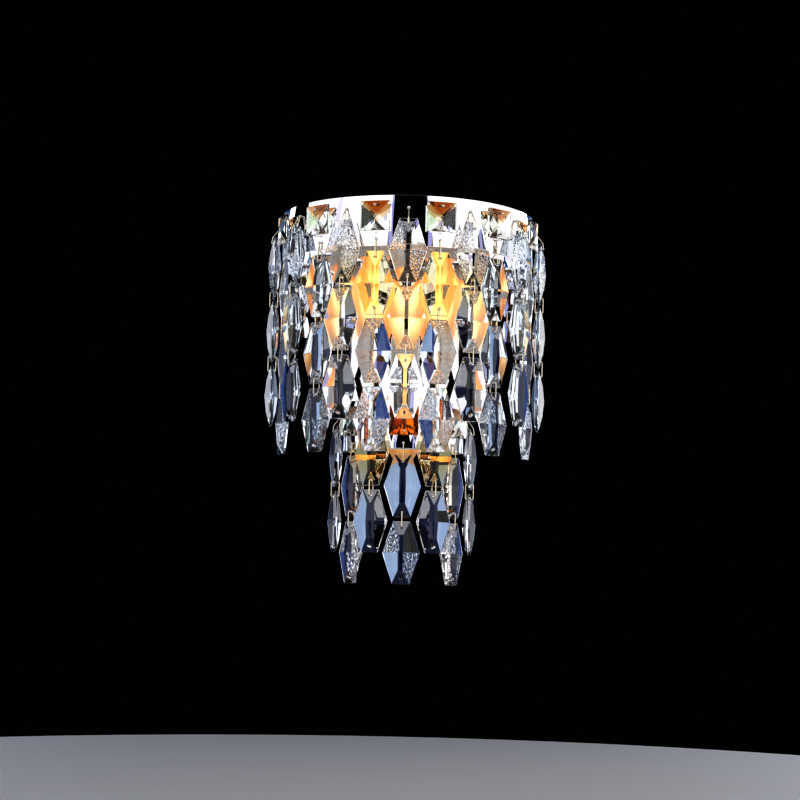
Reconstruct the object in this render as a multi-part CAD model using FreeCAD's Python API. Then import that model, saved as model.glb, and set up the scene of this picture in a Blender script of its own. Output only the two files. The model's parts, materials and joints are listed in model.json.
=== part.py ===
"""A two-tier wall sconce: half-round mirror bands hung with strings of cut crystals.

Frame: +Z up, the wall is the plane y = 0 and the sconce stands out of it along -Y.
The origin is the middle of the wall strip's back face. All sizes are in millimetres.
"""
import FreeCAD, Part
import math
import os

# ---------------------------------------------------------------- the long crystal
HEX_LENGTH = 50.0
HEX_WIDTH = 30.0            # across the side corners, at half length
HEX_END_WIDTH = 14.0        # across each flat end
HEX_THICKNESS = 11.0        # through the middle
HEX_GIRDLE = 2.0            # the thin edge all round
HEX_RIDGE_WIDTH = 3.0       # the flat strip down the middle
HEX_END_FACET = 11.5        # from the end to the tip of the end facet
HEX_HOLE_INSET = 5.2        # from the end to the middle of the drilled hole
CRYSTAL_HOLE_RADIUS = 1.0
CRYSTAL_GAP = 3.0           # from one crystal of a string to the next

# ---------------------------------------------------------------- the square crystal
SQUARE_SIDE = 23.5
SQUARE_THICKNESS = 8.0
SQUARE_GIRDLE = 2.0
SQUARE_HOLE_INSET = 3.5
SQUARE_RISE = 17.6          # its middle above the lower row of holes

# ---------------------------------------------------------------- wire, beads and seats
WIRE = 0.9                  # pins and links are bent from this wire
BEAD_RADIUS = 1.1
BEAD_LENGTH = 2.0
BEAD_STAND_OFF = 0.7        # from the band's face to the bead, which lets the pin tip
TAIL_LENGTH = 3.0           # turned up behind the band
TAIL_STAND_OFF = 0.65       # from the band's inner face to the tail
WIRE_CLEARANCE = 0.35       # between a wire loop and the crystal that it holds
HOLE_SEAT = 0.3             # a loaded wire lies this far off the middle of its hole
SEAT_GAP = 0.3              # between pieces that lean on each other
FIT_CLEARANCE = 0.1         # a screw or stud in its hole, on the radius

# ---------------------------------------------------------------- the bands
UPPER_BAND_RADIUS = 104.5
LOWER_BAND_RADIUS = 50.0
BAND_HEIGHT = 40.0
BAND_SHEET = 1.0
BAND_TOP = 80.0             # top edge of the upper band above the wall strip's middle
TIER_DROP = 154.6           # from the upper band down to the lower one
ROW_INSET = 10.0            # from the top edge to the upper row of holes
ROW_SPACING = 24.7          # from the upper row of holes to the lower one
PIN_HOLE_RADIUS = 1.0
SQUARE_PIN_HOLE_RADIUS = 0.8
TAB_LENGTH = 12.0           # end tabs, turned inwards along the back plate

# ---------------------------------------------------------------- how the strings hang
UPPER_STEP = 13.75          # degrees from one string of the upper tier to the next
LOWER_STEP = 26.6           # degrees from one string of the lower tier to the next
LAST_COLUMN_ANGLE = 84.0    # no string hangs further round than this
PIN_DROP = 9.5              # from the pin's hole to the first crystal's end, in front of the band
EDGE_DROP = 4.2             # from the band's lower edge to the first crystal's end, below the band
BELOW_BAND_STAND_OFF = 0.5  # middle of a string below the band, out from the band's face
PIN_EDGE_CLEARANCE = 0.45   # between such a string's pin and the band's lower edge
UPPER_CRYSTALS = 3
LOWER_CRYSTALS = 2

# ---------------------------------------------------------------- back plate and wall strip
PLATE_DEPTH = 12.0
PLATE_SHEET = 1.2
PLATE_REVEAL = 4.0          # the plate's side lies this far inside the band's face
PLATE_HEAD_HEIGHT = 100.0
PLATE_CORNER = 3.0
STRIP_LENGTH = 150.0
STRIP_HEIGHT = 20.0
STRIP_SHEET = 2.0
STRIP_CORNER = 3.0
SLOT_LENGTH = 15.0
SLOT_WIDTH = 5.0
SLOT_SPACING = 90.0
STUD_RADIUS = 2.0
STUD_SPACING = 120.0
STUD_COLLAR_RADIUS = 3.6
STUD_COLLAR_HEIGHT = 1.5
CAP_NUT_FLATS = 7.0
CAP_NUT_HEX_HEIGHT = 3.2
CAP_NUT_DOME_RADIUS = 3.3
CAP_NUT_DOME_HEIGHT = 4.0
SCREW_RADIUS = 1.5
SCREW_HEAD_RADIUS = 2.8
SCREW_HEAD_HEIGHT = 1.8
SCREW_TAIL = 2.5            # past the plate's sheet

# ---------------------------------------------------------------- lamps
UPPER_LAMP_SPREAD = 27.0    # each upper lamp beside the middle
UPPER_LAMP_REACH = 45.0     # upper lamps in front of the back plate
LOWER_LAMP_REACH = 24.0
UPPER_SHELF_DROP = 4.0      # underside of the upper shelf below the upper band's top edge
LOWER_SHELF_RISE = 54.0     # underside of the lower shelf above the lower band's top edge
SHELF_SHEET = 1.5
SHELF_STEM_WIDTH = 20.0
SHELF_BAR_WIDTH = 18.0
FLANGE_HEIGHT = 22.0
FLANGE_SCREW_SPACING = 10.0
HOLDER_LENGTH = 36.0
HOLDER_RADIUS = 12.0
HOLDER_SKIRT_RADIUS = 13.5
HOLDER_SKIRT_LENGTH = 8.0
HOLDER_CROWN = 9.0          # closed part above the bore
NIPPLE_RADIUS = 5.0
NIPPLE_HEIGHT = 3.0
NIPPLE_RIM = 1.2            # turned over on top of the shelf
LAMP_CAP_RADIUS = 6.9
LAMP_CAP_LENGTH = 24.0
LAMP_CONTACT_RADIUS = 3.5
LAMP_CONTACT_HEIGHT = 2.0
LAMP_CLEARANCE = 0.3        # the lamp cap in the holder's bore
LAMP_NECK_RADIUS = 8.5
LAMP_NECK_LENGTH = 6.0
LAMP_SHOULDER_RADIUS = 14.8  # halfway to the widest place, above and below it
LAMP_BULGE_RADIUS = 17.5
LAMP_GLASS_LENGTH = 76.0
LAMP_BULGE_DROP = 30.0      # from the neck's top to the widest place
LAMP_TIP_RADIUS = 5.0
MOUTH_LENGTH = 7.0          # the holder's wider mouth, for the neck of the glass
LAMP_SIDES = 10             # flats round the turned pieces of a lamp
SMALL_SIDES = 6             # flats round studs, screws and other small turned pieces
BEAD_SIDES = 6
LEAD_SIDES = 4
TINY = 1e-6                 # two points nearer than this are one

# ---------------------------------------------------------------- wiring
LEAD_RADIUS = 1.1
LEAD_SPREAD = 2.4           # the two upper leads, each beside the middle
LEAD_RUN_OUT = 8.0          # straight out of the back plate, before an upper lead turns aside
LEAD_RUN_IN = 9.0           # straight into the back of an upper holder
LEAD_ENTRY_DROP = 12.0      # where a lead enters its holder, below the shelf
BLOCK_WIDTH = 30.0
BLOCK_HEIGHT = 14.0
BLOCK_DEPTH = 9.0
BLOCK_RISE = 22.0           # middle of the terminal block above the strip's middle
BLOCK_POLES = 3
POLE_RADIUS = 2.8
POLE_DEPTH = 3.0
GROMMET_RADIUS = 5.5
GROMMET_BORE_RADIUS = 4.0
GROMMET_LIP = 1.2
UPPER_GROMMET_RISE = 44.0

# ---------------------------------------------------------------- sizes that follow
UP = FreeCAD.Vector(0, 0, 1)
OUT = FreeCAD.Vector(0, -1, 0)
LOWER_BAND_TOP = BAND_TOP - TIER_DROP
HOLE_TO_HOLE = CRYSTAL_GAP + 2 * HEX_HOLE_INSET
CRYSTAL_PITCH = HEX_LENGTH + CRYSTAL_GAP
FACE_OFFSET = BAND_SHEET / 2  # from the middle of the band's sheet to either face
IN_FRONT_OFFSET = FACE_OFFSET + SEAT_GAP + HEX_THICKNESS / 2
BELOW_OFFSET = FACE_OFFSET + BELOW_BAND_STAND_OFF
EDGE_BELOW_ROW = BAND_HEIGHT - ROW_INSET - ROW_SPACING
BELOW_BAND_DROP = EDGE_BELOW_ROW + EDGE_DROP
UPPER_SHELF = BAND_TOP - UPPER_SHELF_DROP
LOWER_SHELF = LOWER_BAND_TOP + LOWER_SHELF_RISE
LOWER_GROMMET_RISE = LOWER_SHELF - LEAD_ENTRY_DROP
BRACKETS = ((UPPER_SHELF, -1), (LOWER_SHELF, 1))  # (shelf, which way its flange is turned)
UPPER_LAMP_LINE = -PLATE_DEPTH - UPPER_LAMP_REACH
LAMPS = (
    (-UPPER_LAMP_SPREAD, UPPER_LAMP_LINE, UPPER_SHELF),
    (UPPER_LAMP_SPREAD, UPPER_LAMP_LINE, UPPER_SHELF),
    (0, -PLATE_DEPTH - LOWER_LAMP_REACH, LOWER_SHELF),
)


def vec(x, y, z):
    """A point or direction."""
    return FreeCAD.Vector(x, y, z)


def solid_of(facets):
    """A closed solid from flat facets, each given by its corners in order."""
    faces = [Part.Face(Part.makePolygon(corners + corners[:1])) for corners in facets]
    solid = Part.makeSolid(Part.makeShell(faces))
    if solid.Volume < 0:
        solid.reverse()
    return solid


def ring_of(radius, height, sides):
    """Corners of a regular polygon about the Z axis."""
    turn = 2 * math.pi / sides
    return [vec(radius * math.cos(i * turn), radius * math.sin(i * turn), height) for i in range(sides)]


def turned(profile, sides, x=0, y=0, z=0):
    """Turned piece with a few flat sides, from (radius, height) points about an upright axis."""
    facets = []
    for (r0, h0), (r1, h1) in zip(profile, profile[1:] + profile[:1]):
        first, second = ring_of(r0, h0, sides), ring_of(r1, h1, sides)
        if r0 == 0 and r1 == 0:
            continue
        if h0 == h1 and min(r0, r1) == 0:
            facets.append(first if r0 > 0 else second)
            continue
        for i in range(sides):
            j = (i + 1) % sides
            corners = [first[i], first[j], second[j], second[i]]
            if r0 == 0:
                corners = [first[i], second[j], second[i]]
            elif r1 == 0:
                corners = [first[i], first[j], second[i]]
            facets.append(corners)
    solid = solid_of(facets)
    solid.translate(vec(x, y, z))
    return solid


def bore(radius, length, start, direction, sides):
    """Cutter for a small drilled hole: a prism whose flats lie at the hole's radius."""
    ring = ring_of(radius / math.cos(math.pi / sides), 0, sides)
    cutter = Part.Face(Part.makePolygon(ring + ring[:1])).extrude(vec(0, 0, length))
    cutter.Placement = FreeCAD.Placement(start, FreeCAD.Rotation(UP, direction))
    return cutter


def punch(radius, length, start):
    """Cutter for a square punched hole out along -Y, its sides upright and level."""
    cutter = Part.makeBox(2 * radius, length, 2 * radius)
    cutter.translate(start + vec(-radius, -length, -radius))
    return cutter


def pierce(solid, heights, depth):
    """Cuts a crystal's holes along Y, with four flats each, at x = 0 and the given heights."""
    for height in heights:
        solid = solid.cut(punch(CRYSTAL_HOLE_RADIUS, depth, vec(0, depth / 2, height)))
    return solid


def hex_surface_height(x, z):
    """Half thickness of the long crystal at a place on its main facets."""
    side, end, half = HEX_WIDTH / 2, HEX_END_WIDTH / 2, HEX_LENGTH / 2
    reach = (side - x) * half - (side - end) * z
    full = (side - HEX_RIDGE_WIDTH / 2) * half
    return HEX_GIRDLE / 2 + (HEX_THICKNESS - HEX_GIRDLE) / 2 * reach / full


def hex_crystal():
    """The long hexagonal crystal: four main facets, two end facets and a ridge strip on each face."""
    side, end, half = HEX_WIDTH / 2, HEX_END_WIDTH / 2, HEX_LENGTH / 2
    ridge, tip, edge = HEX_RIDGE_WIDTH / 2, half - HEX_END_FACET, HEX_GIRDLE / 2
    middle_height = hex_surface_height(ridge, 0)
    tip_height = hex_surface_height(ridge, tip)
    facets = []
    for face in (-1, 1):
        for way in (-1, 1):
            ends = [vec(s * end, face * edge, way * half) for s in (-1, 1)]
            corners = [vec(s * side, face * edge, 0) for s in (-1, 1)]
            tips = [vec(s * ridge, face * tip_height, way * tip) for s in (-1, 1)]
            middles = [vec(s * ridge, face * middle_height, 0) for s in (-1, 1)]
            facets.append([ends[0], ends[1], tips[1], tips[0]])
            facets.append([tips[0], tips[1], middles[1], middles[0]])
            for s in (0, 1):
                facets.append([corners[s], middles[s], tips[s], ends[s]])
    outline = [(-side, 0), (-end, half), (end, half), (side, 0), (end, -half), (-end, -half)]
    for (x0, z0), (x1, z1) in zip(outline, outline[1:] + outline[:1]):
        facets.append([vec(x0, -edge, z0), vec(x1, -edge, z1), vec(x1, edge, z1), vec(x0, edge, z0)])
    hole = half - HEX_HOLE_INSET
    return pierce(solid_of(facets), (-hole, hole), HEX_THICKNESS)


def square_crystal():
    """The square crystal: four facets that meet in the middle, on both faces."""
    half, edge, peak = SQUARE_SIDE / 2, SQUARE_GIRDLE / 2, SQUARE_THICKNESS / 2
    corners = [(-half, -half), (half, -half), (half, half), (-half, half)]
    facets = []
    for (x0, z0), (x1, z1) in zip(corners, corners[1:] + corners[:1]):
        for face in (-1, 1):
            facets.append([vec(x0, face * edge, z0), vec(x1, face * edge, z1), vec(0, face * peak, 0)])
        facets.append([vec(x0, -edge, z0), vec(x1, -edge, z1), vec(x1, edge, z1), vec(x0, edge, z0)])
    hole = half - SQUARE_HOLE_INSET
    return pierce(solid_of(facets), (-hole, hole), SQUARE_THICKNESS)


def shifted(before, corner, after, distance):
    """The corner of a bent line, moved to its left by a distance, with a mitred bend."""
    def left(a, b):
        length = math.hypot(b[0] - a[0], b[1] - a[1])
        return ((a[1] - b[1]) / length, (b[0] - a[0]) / length)
    first = left(before, corner) if before else left(corner, after)
    second = left(corner, after) if after else first
    share = distance / (1 + first[0] * second[0] + first[1] * second[1])
    return (corner[0] + share * (first[0] + second[0]), corner[1] + share * (first[1] + second[1]))


def bent_wire(path, closed):
    """Square wire bent along a path of (out, up) points in the plane x = 0; out is -Y."""
    count = len(path)
    sides = []
    for distance in (WIRE / 2, -WIRE / 2):
        side = []
        for i, corner in enumerate(path):
            before = path[i - 1] if closed or i > 0 else None
            after = path[(i + 1) % count] if closed or i < count - 1 else None
            side.append(shifted(before, corner, after, distance))
        sides.append([vec(-WIRE / 2, -out, up) for out, up in side])
    if closed:
        wires = [Part.makePolygon(side + side[:1]) for side in sides]
        faces = sorted((Part.Face(wire) for wire in wires), key=lambda face: face.Area)
        section = faces[1].cut(faces[0])
    else:
        outline = sides[0] + sides[1][::-1]
        section = Part.Face(Part.makePolygon(outline + outline[:1]))
    return section.extrude(vec(WIRE, 0, 0))


def bead(start, length):
    """A small bead with a few sides on the radial line through a hole, from start outwards."""
    corners = [vec(corner.x, -start, corner.y) for corner in ring_of(BEAD_RADIUS, 0, BEAD_SIDES)]
    return Part.Face(Part.makePolygon(corners + corners[:1])).extrude(OUT * length)


def tail_path(reach):
    """The wire from a place in front of the band, through its hole, and up behind it."""
    behind = -(FACE_OFFSET + TAIL_STAND_OFF + WIRE / 2)
    return [(reach, 0), (behind, 0), (behind, TAIL_LENGTH)]


def hanging_pin(in_front):
    """Pin of a string: tail through the band's hole, bead, and a loop down to the first crystal.

    Its hole is at the origin, in the middle of the band's sheet. Where the string hangs below
    the band, the inner leg runs down the band's face and turns in under its lower edge.
    """
    middle = IN_FRONT_OFFSET if in_front else BELOW_OFFSET
    drop = PIN_DROP if in_front else BELOW_BAND_DROP
    bead_start = FACE_OFFSET + BEAD_STAND_OFF
    apex = bead_start + BEAD_LENGTH / 2
    reach = hole_thickness() / 2 + WIRE_CLEARANCE + WIRE / 2
    bar = HOLE_SEAT - drop - HEX_HOLE_INSET
    knee = WIRE - drop
    passing = HEX_GIRDLE / 2 + WIRE_CLEARANCE + WIRE
    loop = [
        (apex - WIRE / 2, 0),
        (apex + WIRE / 2, 0),
        (middle + passing, knee),
        (middle + reach, bar),
        (middle - reach, bar),
    ]
    if in_front:
        loop.append((middle - passing, knee))
    else:
        beside_edge = FACE_OFFSET + PIN_EDGE_CLEARANCE + WIRE / 2
        loop += [(middle - reach, knee), (beside_edge, -EDGE_BELOW_ROW - PIN_EDGE_CLEARANCE)]
    pin = bent_wire(loop, True).fuse([bent_wire(tail_path(apex), False), bead(bead_start, BEAD_LENGTH)])
    return pin.removeSplitter().Solids[0]


def hole_thickness():
    """Thickness of the long crystal at its drilled hole, on the end facet."""
    tip_height = hex_surface_height(HEX_RIDGE_WIDTH / 2, HEX_LENGTH / 2 - HEX_END_FACET)
    share = HEX_HOLE_INSET / HEX_END_FACET
    return HEX_GIRDLE + 2 * share * (tip_height - HEX_GIRDLE / 2)


def crystal_link():
    """Closed wire link between two crystals, its middle at the origin."""
    half_width = hole_thickness() / 2 + WIRE_CLEARANCE + WIRE / 2
    half_height = HOLE_TO_HOLE / 2 - HOLE_SEAT
    loop = [(sx * half_width, sz * half_height) for sx, sz in ((-1, 1), (1, 1), (1, -1), (-1, -1))]
    return bent_wire(loop, True)


def square_pin():
    """Pin of a square crystal: bead in front, wire through the crystal and the band, tail up."""
    middle = square_offset()
    share = SQUARE_HOLE_INSET / (SQUARE_SIDE / 2)
    front = middle + SQUARE_GIRDLE / 2 + share * (SQUARE_THICKNESS - SQUARE_GIRDLE) / 2 + SEAT_GAP
    pin = bent_wire(tail_path(front + BEAD_LENGTH / 2), False).fuse(bead(front, BEAD_LENGTH))
    return pin.removeSplitter().Solids[0]


def square_offset():
    """Middle of a square crystal, out from the middle of the band's sheet."""
    return FACE_OFFSET + SEAT_GAP + SQUARE_THICKNESS / 2


class Tier:
    """One band with its strings. Odd or even columns hang in front of the band."""

    def __init__(self, name, band_radius, top, step, crystals, front_parity):
        self.name = name
        self.band_radius = band_radius
        self.sheet_radius = band_radius - FACE_OFFSET
        self.top = top
        self.step = step
        self.crystals = crystals
        self.front_parity = front_parity
        self.upper_row = top - ROW_INSET
        self.lower_row = self.upper_row - ROW_SPACING
        self.last = int(LAST_COLUMN_ANGLE // step)

    def columns(self):
        """(number from the left, angle, whether it hangs in front of the band)."""
        for k in range(-self.last, self.last + 1):
            yield k + self.last + 1, k * self.step, k % 2 == self.front_parity

    def place(self, shape, angle, offset, height):
        """Copies a shape from the middle column to an angle, out from the band's sheet."""
        moved = shape.copy()
        moved.translate(vec(0, -(self.sheet_radius + offset), height))
        moved.rotate(vec(0, 0, 0), UP, angle)
        moved.translate(vec(0, -PLATE_DEPTH, 0))
        return moved


UPPER = Tier("upper", UPPER_BAND_RADIUS, BAND_TOP, UPPER_STEP, UPPER_CRYSTALS, 0)
LOWER = Tier("lower", LOWER_BAND_RADIUS, LOWER_BAND_TOP, LOWER_STEP, LOWER_CRYSTALS, 1)


def make_band(tier):
    """Half-round band with its pin holes, and end tabs turned inwards along the back plate."""
    bottom = tier.top - BAND_HEIGHT
    foot = vec(0, 0, bottom)
    ring = Part.makeCylinder(tier.band_radius, BAND_HEIGHT, foot, UP, 180)
    ring = ring.cut(Part.makeCylinder(tier.band_radius - BAND_SHEET, BAND_HEIGHT, foot, UP))
    ring.rotate(vec(0, 0, 0), UP, 180)
    for side in (-1, 1):
        start = tier.band_radius - TAB_LENGTH if side > 0 else -tier.band_radius
        tab = Part.makeBox(TAB_LENGTH, BAND_SHEET, BAND_HEIGHT, vec(start, -BAND_SHEET, bottom))
        ring = ring.fuse(tab)
    ring = ring.removeSplitter()
    ring.translate(vec(0, -PLATE_DEPTH, 0))
    drills = []
    start = vec(0, 2 * BAND_SHEET, 0)
    pin_drill = punch(PIN_HOLE_RADIUS, 4 * BAND_SHEET, start)
    square_drill = punch(SQUARE_PIN_HOLE_RADIUS, 4 * BAND_SHEET, start)
    for _, angle, in_front in tier.columns():
        drills.append(tier.place(pin_drill, angle, 0, tier.upper_row if in_front else tier.lower_row))
        if not in_front:
            for height in square_pin_heights(tier):
                drills.append(tier.place(square_drill, angle, 0, height))
    for x, height in tab_screws(tier):
        drills.append(screw_drill(x, height))
    return ring.cut(Part.makeCompound(drills)).Solids[0]


def square_pin_heights(tier):
    """Heights of a square crystal's two pins."""
    middle = tier.lower_row + SQUARE_RISE
    hole = SQUARE_SIDE / 2 - SQUARE_HOLE_INSET
    return (middle - hole, middle + hole)


def tab_screws(tier):
    """(x, z) of the screws that hold a band's end tabs to the back plate."""
    x = tier.band_radius - (TAB_LENGTH + PLATE_REVEAL) / 2
    return [(side * x, tier.top - BAND_HEIGHT / 2) for side in (-1, 1)]


def flange_screws(shelf, way):
    """(x, z) of the two screws of a lamp bracket's flange."""
    middle = shelf + SHELF_SHEET * (way < 0) + way * FLANGE_HEIGHT / 2
    return [(side * FLANGE_SCREW_SPACING / 2, middle) for side in (-1, 1)]


def screw_drill(x, height):
    """Cutter for a screw's clearance hole through the sheets at the back plate's front."""
    reach = BAND_SHEET + SHELF_SHEET + PLATE_SHEET
    start = vec(x, -PLATE_DEPTH + 2 * PLATE_SHEET, height)
    return bore(SCREW_RADIUS + FIT_CLEARANCE, 2 * reach, start, OUT, SMALL_SIDES)


def plate_block(inset, depth):
    """T-shaped block with its corners cut off, its back on the wall, its outline set in by an inset."""
    head = UPPER.band_radius - PLATE_REVEAL - inset
    stem = LOWER.band_radius - PLATE_REVEAL - inset
    top, bottom = BAND_TOP - inset, LOWER_BAND_TOP - BAND_HEIGHT + inset
    step = BAND_TOP - PLATE_HEAD_HEIGHT + inset
    right = [(stem, bottom), (stem, step), (head, step), (head, top)]
    outline = right + [(-x, z) for x, z in right[::-1]]
    corners = [vec(x, 0, z) for x, z in outline]
    block = Part.Face(Part.makePolygon(corners + corners[:1])).extrude(OUT * depth)
    hollow = [vec(side * stem, 0, step) for side in (-1, 1)]
    outer = [corner for corner in corners if not any(corner.isEqual(h, TINY) for h in hollow)]
    block = block.makeChamfer(PLATE_CORNER - inset, edges_at(block, outer))
    return block.makeChamfer(PLATE_CORNER + inset, edges_at(block, hollow))


def edges_at(block, corners):
    """The block's edges along Y that start on the wall plane at one of the corners."""
    edges = []
    for edge in block.Edges:
        ends = [vertex.Point for vertex in edge.Vertexes]
        if abs(ends[0].y - ends[-1].y) > TINY:
            edges += [edge for corner in corners for end in ends if end.isEqual(corner, TINY)]
    return edges


def make_back_plate():
    """Pressed back plate: an open-backed tray with holes for studs, screws and wiring."""
    plate = plate_block(0, PLATE_DEPTH).cut(plate_block(PLATE_SHEET, PLATE_DEPTH - PLATE_SHEET))
    cutters = [screw_drill(x, z) for tier in (UPPER, LOWER) for x, z in tab_screws(tier)]
    cutters += [screw_drill(x, z) for shelf, way in BRACKETS for x, z in flange_screws(shelf, way)]
    for side in (-1, 1):
        start = vec(side * STUD_SPACING / 2, 0, 0)
        cutters.append(bore(STUD_RADIUS + FIT_CLEARANCE, 2 * PLATE_DEPTH, start, OUT, SMALL_SIDES))
    for height in (UPPER_GROMMET_RISE, LOWER_GROMMET_RISE):
        cutters.append(bore(GROMMET_RADIUS, 2 * PLATE_DEPTH, vec(0, 0, height), OUT, SMALL_SIDES))
    return plate.cut(Part.makeCompound(cutters)).Solids[0]


def make_wall_strip():
    """Flat strip against the wall, with two slots for wall screws and two stud holes."""
    strip = Part.makeBox(
        STRIP_LENGTH, STRIP_SHEET, STRIP_HEIGHT, vec(-STRIP_LENGTH / 2, -STRIP_SHEET, -STRIP_HEIGHT / 2)
    )
    reach, half = STRIP_LENGTH / 2, STRIP_HEIGHT / 2
    corners = [vec(x, 0, z) for x in (-reach, reach) for z in (-half, half)]
    strip = strip.makeChamfer(STRIP_CORNER, edges_at(strip, corners))
    straight = SLOT_LENGTH - SLOT_WIDTH
    for side in (-1, 1):
        middle = side * SLOT_SPACING / 2
        corner = vec(middle - straight / 2, -STRIP_SHEET, -SLOT_WIDTH / 2)
        slot = Part.makeBox(straight, STRIP_SHEET, SLOT_WIDTH, corner)
        for end in (-1, 1):
            start = vec(middle + end * straight / 2, 0, 0)
            slot = slot.fuse(Part.makeCylinder(SLOT_WIDTH / 2, STRIP_SHEET, start, OUT))
        stud = vec(side * STUD_SPACING / 2, 0, 0)
        hole = bore(STUD_RADIUS + FIT_CLEARANCE, STRIP_SHEET, stud, OUT, SMALL_SIDES)
        strip = strip.cut([slot.removeSplitter(), hole])
    return strip.Solids[0]


def laid_forward(solid, x, y, z):
    """Turns a solid's +Z to -Y, out of the wall, and puts its origin at a point."""
    solid.rotate(vec(0, 0, 0), vec(1, 0, 0), 90)
    solid.translate(vec(x, y, z))
    return solid


def make_studs():
    """Two studs in the wall strip, with a collar in front of it, out through the back plate."""
    length = PLATE_DEPTH + CAP_NUT_HEX_HEIGHT
    collar_end = STRIP_SHEET + STUD_COLLAR_HEIGHT
    profile = [
        (0, 0), (STUD_RADIUS, 0), (STUD_RADIUS, STRIP_SHEET), (STUD_COLLAR_RADIUS, STRIP_SHEET),
        (STUD_COLLAR_RADIUS, collar_end), (STUD_RADIUS, collar_end), (STUD_RADIUS, length), (0, length),
    ]
    return [laid_forward(turned(profile, SMALL_SIDES), side * STUD_SPACING / 2, 0, 0) for side in (-1, 1)]


def make_cap_nuts():
    """Two domed cap nuts on the studs, against the back plate's front."""
    ring = ring_of(CAP_NUT_FLATS / 2 / math.cos(math.pi / 6), 0, 6)
    top = CAP_NUT_HEX_HEIGHT + CAP_NUT_DOME_HEIGHT
    dome = turned([
        (0, CAP_NUT_HEX_HEIGHT), (CAP_NUT_DOME_RADIUS, CAP_NUT_HEX_HEIGHT),
        (CAP_NUT_DOME_RADIUS, CAP_NUT_HEX_HEIGHT + CAP_NUT_DOME_HEIGHT / 3),
        (CAP_NUT_DOME_RADIUS * 2 / 3, top - CAP_NUT_DOME_HEIGHT / 6), (0, top),
    ], SMALL_SIDES)
    nut = Part.Face(Part.makePolygon(ring + ring[:1])).extrude(vec(0, 0, CAP_NUT_HEX_HEIGHT)).fuse(dome)
    depth = CAP_NUT_HEX_HEIGHT + SEAT_GAP
    nut = nut.cut(bore(STUD_RADIUS + FIT_CLEARANCE, depth, vec(0, 0, 0), UP, SMALL_SIDES)).Solids[0]
    return [laid_forward(nut.copy(), side * STUD_SPACING / 2, -PLATE_DEPTH, 0) for side in (-1, 1)]


def make_screw(x, z, sheet):
    """Pan-head screw through a sheet that lies on the back plate's front."""
    tail = -(PLATE_SHEET + SCREW_TAIL)
    top = sheet + SCREW_HEAD_HEIGHT
    profile = [
        (0, tail), (SCREW_RADIUS, tail), (SCREW_RADIUS, sheet), (SCREW_HEAD_RADIUS, sheet),
        (SCREW_HEAD_RADIUS * 2 / 3, top), (0, top),
    ]
    return laid_forward(turned(profile, SMALL_SIDES), x, -PLATE_DEPTH, z)


def make_band_screws():
    """Screws that hold the bands' end tabs to the back plate."""
    return [make_screw(x, z, BAND_SHEET) for tier in (UPPER, LOWER) for x, z in tab_screws(tier)]


def make_bracket_screws():
    """Screws that hold the lamp brackets' flanges to the back plate."""
    return [make_screw(x, z, SHELF_SHEET) for shelf, way in BRACKETS for x, z in flange_screws(shelf, way)]


def make_bracket(shelf, way, lamps, reach):
    """Lamp bracket: a flange on the back plate, and a shelf with a bar across that the lamps hang from."""
    side, line = -SHELF_STEM_WIDTH / 2, -PLATE_DEPTH - reach
    low = shelf if way > 0 else shelf + SHELF_SHEET - FLANGE_HEIGHT
    stem = Part.makeBox(SHELF_STEM_WIDTH, reach, SHELF_SHEET, vec(side, line, shelf))
    corner = vec(side, -PLATE_DEPTH - SHELF_SHEET, low)
    pieces = [Part.makeBox(SHELF_STEM_WIDTH, SHELF_SHEET, FLANGE_HEIGHT, corner)]
    pieces += [Part.makeCylinder(SHELF_BAR_WIDTH / 2, SHELF_SHEET, vec(x, line, shelf)) for x in lamps]
    spread = max(lamps)
    if spread > 0:
        corner = vec(-spread, line - SHELF_BAR_WIDTH / 2, shelf)
        pieces.append(Part.makeBox(2 * spread, SHELF_BAR_WIDTH, SHELF_SHEET, corner))
    bracket = stem.fuse(pieces).removeSplitter()
    cutters = [screw_drill(x, z) for x, z in flange_screws(shelf, way)]
    hole = bore(NIPPLE_RADIUS + FIT_CLEARANCE, SHELF_SHEET, vec(0, line, shelf), UP, LAMP_SIDES)
    cutters += [hole.translated(vec(x, 0, 0)) for x in lamps]
    return bracket.cut(Part.makeCompound(cutters)).Solids[0]


def make_holder(x, y, shelf):
    """Lampholder under a shelf: nipple turned over on the shelf, body, skirt, bore and mouth."""
    inner = LAMP_CAP_RADIUS + LAMP_CLEARANCE
    mouth = LAMP_NECK_RADIUS + LAMP_CLEARANCE
    skirt = -HOLDER_LENGTH + HOLDER_SKIRT_LENGTH
    profile = [
        (0, NIPPLE_HEIGHT), (NIPPLE_RADIUS + NIPPLE_RIM, NIPPLE_HEIGHT),
        (NIPPLE_RADIUS + NIPPLE_RIM, SHELF_SHEET), (NIPPLE_RADIUS, SHELF_SHEET), (NIPPLE_RADIUS, 0),
        (HOLDER_RADIUS, 0), (HOLDER_RADIUS, skirt), (HOLDER_SKIRT_RADIUS, skirt),
        (HOLDER_SKIRT_RADIUS, -HOLDER_LENGTH), (mouth, -HOLDER_LENGTH),
        (mouth, -HOLDER_LENGTH + MOUTH_LENGTH), (inner, -HOLDER_LENGTH + MOUTH_LENGTH),
        (inner, -HOLDER_CROWN), (0, -HOLDER_CROWN),
    ]
    return turned(profile, LAMP_SIDES, x, y, shelf)


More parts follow.
